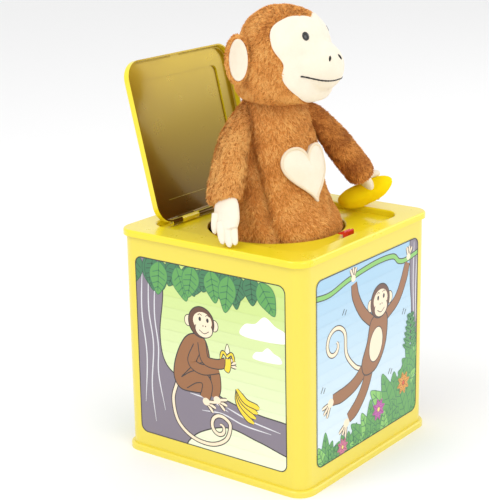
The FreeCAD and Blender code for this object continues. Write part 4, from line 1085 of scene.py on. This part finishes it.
def branch_scene(width, height):
    """A monkey with a banana, seated on a branch under hanging leaves."""
    art = Print(width, height, 5)
    sky(art, linear(240, 246, 214), linear(196, 220, 120))
    for x, y, size in ((86, 74, 15), (88, 61, 9)):
        cloud = np.array([(-1, -0.3), (-0.8, 0.1), (-0.35, 0.2), (0.05, 0.5), (0.5, 0.25), (0.9, 0.1),
                          (1, -0.25), (0, -0.36)])
        art.fill(cloud * size + (x, y), WHITE)
    art.shape([(-6, 108), (16, 108), (19, 84), (16, 60), (19, 44), (30, 37), (46, 36), (62, 31), (82, 28),
               (108, 25), (108, 9), (82, 13), (62, 16), (44, 10), (34, 2), (28, -8), (-6, -8)], BARK, 0.8)
    bark(art, [[(5, 96), (3.5, 70), (6, 45), (4, 18)], [(9.5, 97), (8.5, 72), (11, 52), (9, 28), (11, 8)],
               [(14, 94), (12.5, 70), (14.5, 52), (14, 36), (18, 16)], [(36, 30), (50, 29), (62, 25)],
               [(44, 22), (58, 23), (72, 20), (90, 19)], [(60, 27.5), (76, 23.5), (96, 21)]])
    tail = [(27, 34), (24, 24), (27, 12), (37, 5), (50, 4), (60, 9)] + spiral(56, 15, 8, 1.3, -20)[1:]
    art.limb(tail, 2.0, SKIN, (1, 0.5))
    art.shape([(40, 64), (33, 60), (27, 49), (25, 38), (29, 31.5), (38, 31), (46, 33), (50, 42), (50, 53),
               (47, 62)], COAT, 0.8)
    art.limb([(33, 36), (42, 44), (52, 46), (54, 38), (52, 31)], 7.0, COAT)
    art.limb([(32, 35), (39, 39.5), (45, 40.5), (48, 37.5), (47.5, 33), (46, 29)], 7.0, COAT)
    foot(art, 47, 27.5, -20, 7)
    foot(art, 54.5, 30, -15, 7)
    art.limb([(42, 57), (38, 48), (45, 45), (56, 48)], 6.0, COAT)
    art.limb([(45, 60), (47, 51), (55, 50), (61, 52)], 5.6, COAT)
    foot(art, 62.5, 51.5, 20, 5.5)
    art.shape([(60, 48), (63, 47), (64.5, 52), (63.5, 56.5), (61, 55), (60.5, 51)], FRUIT, 0.5)
    art.shape([(60.8, 55), (60.7, 59), (62.2, 62.5), (63.7, 59), (63.4, 55)], linear(254, 246, 206), 0.5)
    for way in (-1, 1):
        art.limb([(62, 55.5), (62 + way * 3, 57.5), (62 + way * 4.6, 53.5)], 1.3, FRUIT, (1, 0.4))
    face(art, 45, 71, 8.6, 1)
    for drop in (0, 3, 6, 9):
        art.limb([(68, 39), (69 + drop * 0.5, 31 + drop * 0.3), (74 + drop * 0.6, 25 + drop * 0.8),
                  (79 + drop * 0.4, 22.5 + drop)], 3.1, FRUIT, (0.5, 0.4))
    chance = np.random.default_rng(7)
    for x in np.linspace(2, 78, 15):
        art.leaf(x, 101 + chance.uniform(-2, 1), chance.uniform(13, 19), chance.uniform(9, 11),
                 chance.uniform(-118, -62), LEAF_DARK, linear(34, 86, 56))
    for x, low, turn in ((17, 99, -95), (29, 98, -70), (40, 100, -102), (52, 100, -80),
                         (64, 99, -98), (84, 99, -60)):
        art.leaf(x, low, chance.uniform(15, 20), chance.uniform(11, 13), turn, LEAF_MID, LEAF_DARK)
    return art


def vine_scene(width, height):
    """A monkey swinging from a vine above leafy plants and flowers."""
    art = Print(width, height, 5)
    sky(art, linear(222, 236, 242), linear(160, 200, 226))
    art.shape([(93, 108), (92, 80), (94, 60), (92, 44), (108, 40), (108, 108)], BARK, 0.8)
    bark(art, [[(96, 98), (95.5, 76), (97, 50)], [(99, 90), (98.4, 70), (99.2, 52)]])
    tail = [(44, 41), (36, 45), (28, 54)] + spiral(17, 62, 11, 1.15, -20)[1:]
    art.limb(tail, 2.2, SKIN, (1, 0.5))
    vine = [(-3, 91), (12, 90), (28, 93), (44, 95), (60, 96), (74, 95), (80, 91), (88, 90), (103, 92)]
    art.limb(vine, 2.6, LEAF_LIGHT)
    art.limb([(50, 44), (38, 36), (26, 33), (15, 33)], 8.0, COAT, (1, 0.8))
    art.limb([(52, 42), (46, 30), (38, 22), (30, 18)], 8.2, COAT, (1, 0.8))
    foot(art, 13, 32, 215, 8)
    foot(art, 28, 16, 235, 8)
    art.limb([(54, 64), (44, 72), (37, 82), (35, 90)], 6.4, COAT, (1, 0.85))
    art.limb([(66, 64), (78, 70), (85, 79), (89, 88)], 6.4, COAT, (1, 0.85))
    foot(art, 34.5, 93, 90, 6)
    foot(art, 90, 91, 80, 6)
    art.shape([(53, 66), (67, 66), (68, 54), (64, 44), (56, 37), (46, 37), (43, 44), (48, 54)], COAT, 0.8)
    art.disc(57, 51, 6.5, 9.5, SKIN, 0.6, -18)
    face(art, 61, 74, 9.4, 0.4)
    for x, y in ((24, 76), (4, 40), (70, 30), (84, 60)):
        art.stroke([(x, y), (x + 2, y + 3)], 0.6, INK, False)
        art.stroke([(x + 2.4, y - 0.6), (x + 4, y + 2)], 0.6, INK, False)
    clumps = [(8, -4, 20), (98, 22, 22), (30, -5, 19), (52, -4, 24), (76, 4, 30),
              (90, -2, 26), (66, -6, 20), (18, -8, 16), (42, -9, 16)]
    for number, (x, y, size) in enumerate(clumps):
        bush(art, x, y, size, 40 + number)
    for side in (-1, 1):
        for step in range(6):
            art.leaf(93, 38 + step * 3.6, 9 - step, 3.4, 90 - side * 62, LEAF_MID, LEAF_DARK)
    flower(art, 60, 13, 6.2, linear(214, 96, 190), linear(250, 220, 120))
    flower(art, 86, 20, 6.4, linear(246, 170, 60), linear(214, 84, 30))
    flower(art, 24, 4, 5.0, linear(240, 130, 170), linear(250, 220, 120))
    return art


def flower(art, x, y, size, petal, heart_ink):
    """Eight pointed petals about a small disc."""
    for turn in np.arange(0, 360, 45):
        art.leaf(x, y, size, size * 0.5, turn + 11, petal, tuple(channel * 0.6 for channel in petal))
    art.disc(x, y, size * 0.22, size * 0.22, heart_ink, 0.3)


def pictures():
    """The four printed panels, each carried to its own wall, with a thin dark border."""
    half_x, half_y = 70.0, 68.0
    side_wide, side_tall, front_wide, front_tall = 113.4, 116.5, 114.5, 117.3
    for art, name, place in (
            (branch_scene(side_wide, side_tall), "picture_right",
             lambda p: np.stack([-half_x - p[:, 2], 57.0 - p[:, 0], 13.5 + p[:, 1]], axis=1)),
            (branch_scene(side_wide, side_tall), "picture_left",
             lambda p: np.stack([half_x + p[:, 2], p[:, 0] - 57.0, 13.5 + p[:, 1]], axis=1)),
            (vine_scene(front_wide, front_tall), "picture_front",
             lambda p: np.stack([p[:, 0] - 56.0, -half_y - p[:, 2], 13.7 + p[:, 1]], axis=1)),
            (vine_scene(front_wide, front_tall), "picture_back",
             lambda p: np.stack([56.0 - p[:, 0], half_y + p[:, 2], 13.7 + p[:, 1]], axis=1))):
        rim, inset = art.edge / art.size, 0.003
        art.stroke(np.concatenate([rim, rim[:1]]) * (1 - inset) + 50 * inset, 0.8, INK, False)
        art.piece(name, place)


# ---------------------------------------------------------------- finishes of the tin and movement
FINISHES = {
    wall_enamel: ["body_shell", "base_plate"],
    deck_enamel: ["top_deck"],
    lid_enamel: ["lid"],
    bright_steel: ["hinge_wire", "latch_rod", "latch_spring", "crank_rod"],
    spring_steel: ["trip_finger", "latch_bracket_1", "latch_bracket_2", "movement_frame", "frame_rivets",
                   "knob_ring", "shaft_ring", "drum_axle", "comb", "comb_screws", "spring_seat",
                   "sleeve_clamp", "puppet_spring"],
    movement_brass: ["pinion", "drum_gear", "pin_drum", "comb_bed"],
    latch_red: ["latch_hook", "crank_knob", "trip_cam"],
    bush_white: ["crank_bush", "spring_plate"],
}
for material, names in FINISHES.items():
    for name in names:
        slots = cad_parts[name].material_slots
        if not slots:
            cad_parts[name].data.materials.append(material)
        for item in slots:
            item.material = material

pictures()
coil()
torso()
heart()
head()
face_felt()
features()
ear(-1, "right")
ear(1, "left")
# the right arm's pile is set lighter (tone 0.22) and the left arm's darker (tone -0.3): painted light and
# painted shade on one fabric
limb("arm_right", "arm_plush_right",
     [(-12, 12.5, 217), (-26, 8.5, 207.5), (-38, 5, 193.5), (-48, 1.9, 177.5), (-54.5, -1.8, 168)],
     [12, 20, 24, 24, 23], 404, 0.22)
limb("arm_left", "arm_plush_left",
     [(8, -10, 217), (22, -18.5, 205.5), (36, -25, 187), (45, -27.8, 176.1), (51, -30, 167.4)],
     [14, 20, 24, 25, 24], 505, -0.3)
hand("arm_right", "hand_right", "hand_felt_right",
     [(-53, -1, 171), (-57, -5, 165), (-62, -10, 158.5), (-65, -13, 154.5)], [14, 18, 17, 12],
     [((-61, -13, 158), (-69.5, -21, 148.6), 5.2), ((-63, -10, 158), (-71, -18, 147.2), 5.6),
      ((-64, -6, 159), (-71, -13, 148.2), 5.2), ((-62, -1, 163), (-67, -4, 152.0), 5.0)])
press_in(hand(
    "arm_left", "hand_left", "hand_felt_left",
    [(49, -29, 170), (54, -31, 163.5), (58, -32, 158), (60, -33, 154)], [13, 15, 15, 9],
    [((57, -36, 160), (62, -41, 154.5), 4.4), ((58, -33, 157), (62.5, -36.5, 149.5), 4.6),
     ((57, -29, 157), (60, -30, 148.6), 4.4), ((54, -31, 167), (63, -37, 167.5), 5.0)]))
banana()


# ---------------------------------------------------------------- studio
def floor():
    """A wide sheet of pale paper under the box."""
    material, tree, surface = shader("studio_paper", (0.9, 0.9, 0.9), Roughness=0.9)
    grain = noise(tree, 300, Detail=2)
    bump(tree, surface, grain.outputs["Fac"], 0.00002, 0.2)
    mesh = bpy.data.meshes.new("studio_floor")
    mesh.from_pydata([(-30, -30, 0), (30, -30, 0), (30, 30, 0), (-30, 30, 0)], [], [(0, 1, 2, 3)])
    mesh.materials.append(material)
    paper = bpy.data.objects.new("studio_floor", mesh)
    bpy.context.scene.collection.objects.link(paper)


def soft_box(name, place, aim, size, watts):
    """A square area light that looks from its place at its aim."""
    light = bpy.data.lights.new(name, "AREA")
    light.energy, light.size = watts, size
    lamp = bpy.data.objects.new(name, light)
    lamp.location = place
    lamp.rotation_euler = (Vector(aim) - Vector(place)).to_track_quat("-Z", "Y").to_euler()
    bpy.context.scene.collection.objects.link(lamp)


floor()
soft_box("key_box", (-1.1, 0.3, 1.5), (0, 0, 0.14), 0.9, 9.5)
soft_box("front_box", (-0.5, -1.6, 1.0), (0, 0, 0.14), 1.2, 7.5)
soft_box("side_box", (1.4, -0.7, 0.9), (0, 0, 0.14), 1.0, 4.5)
bpy.context.scene.view_settings.view_transform = "Standard"
world = bpy.data.worlds.new("studio_air")
world.use_nodes = True
world.node_tree.nodes["Background"].inputs["Color"].default_value = (1, 1, 1, 1)
world.node_tree.nodes["Background"].inputs["Strength"].default_value = 0.93
bpy.context.scene.world = world

lens = bpy.data.cameras.new("portrait_camera")
lens.lens, lens.sensor_width, lens.sensor_fit = 104.42, 36, "AUTO"
camera = bpy.data.objects.new("portrait_camera", lens)
camera.location = (-0.709945, -0.514034, 0.383328)
camera.rotation_euler = tuple(np.radians([73.6122, 1.0356, -53.0736]))
bpy.context.scene.collection.objects.link(camera)
bpy.context.scene.camera = camera
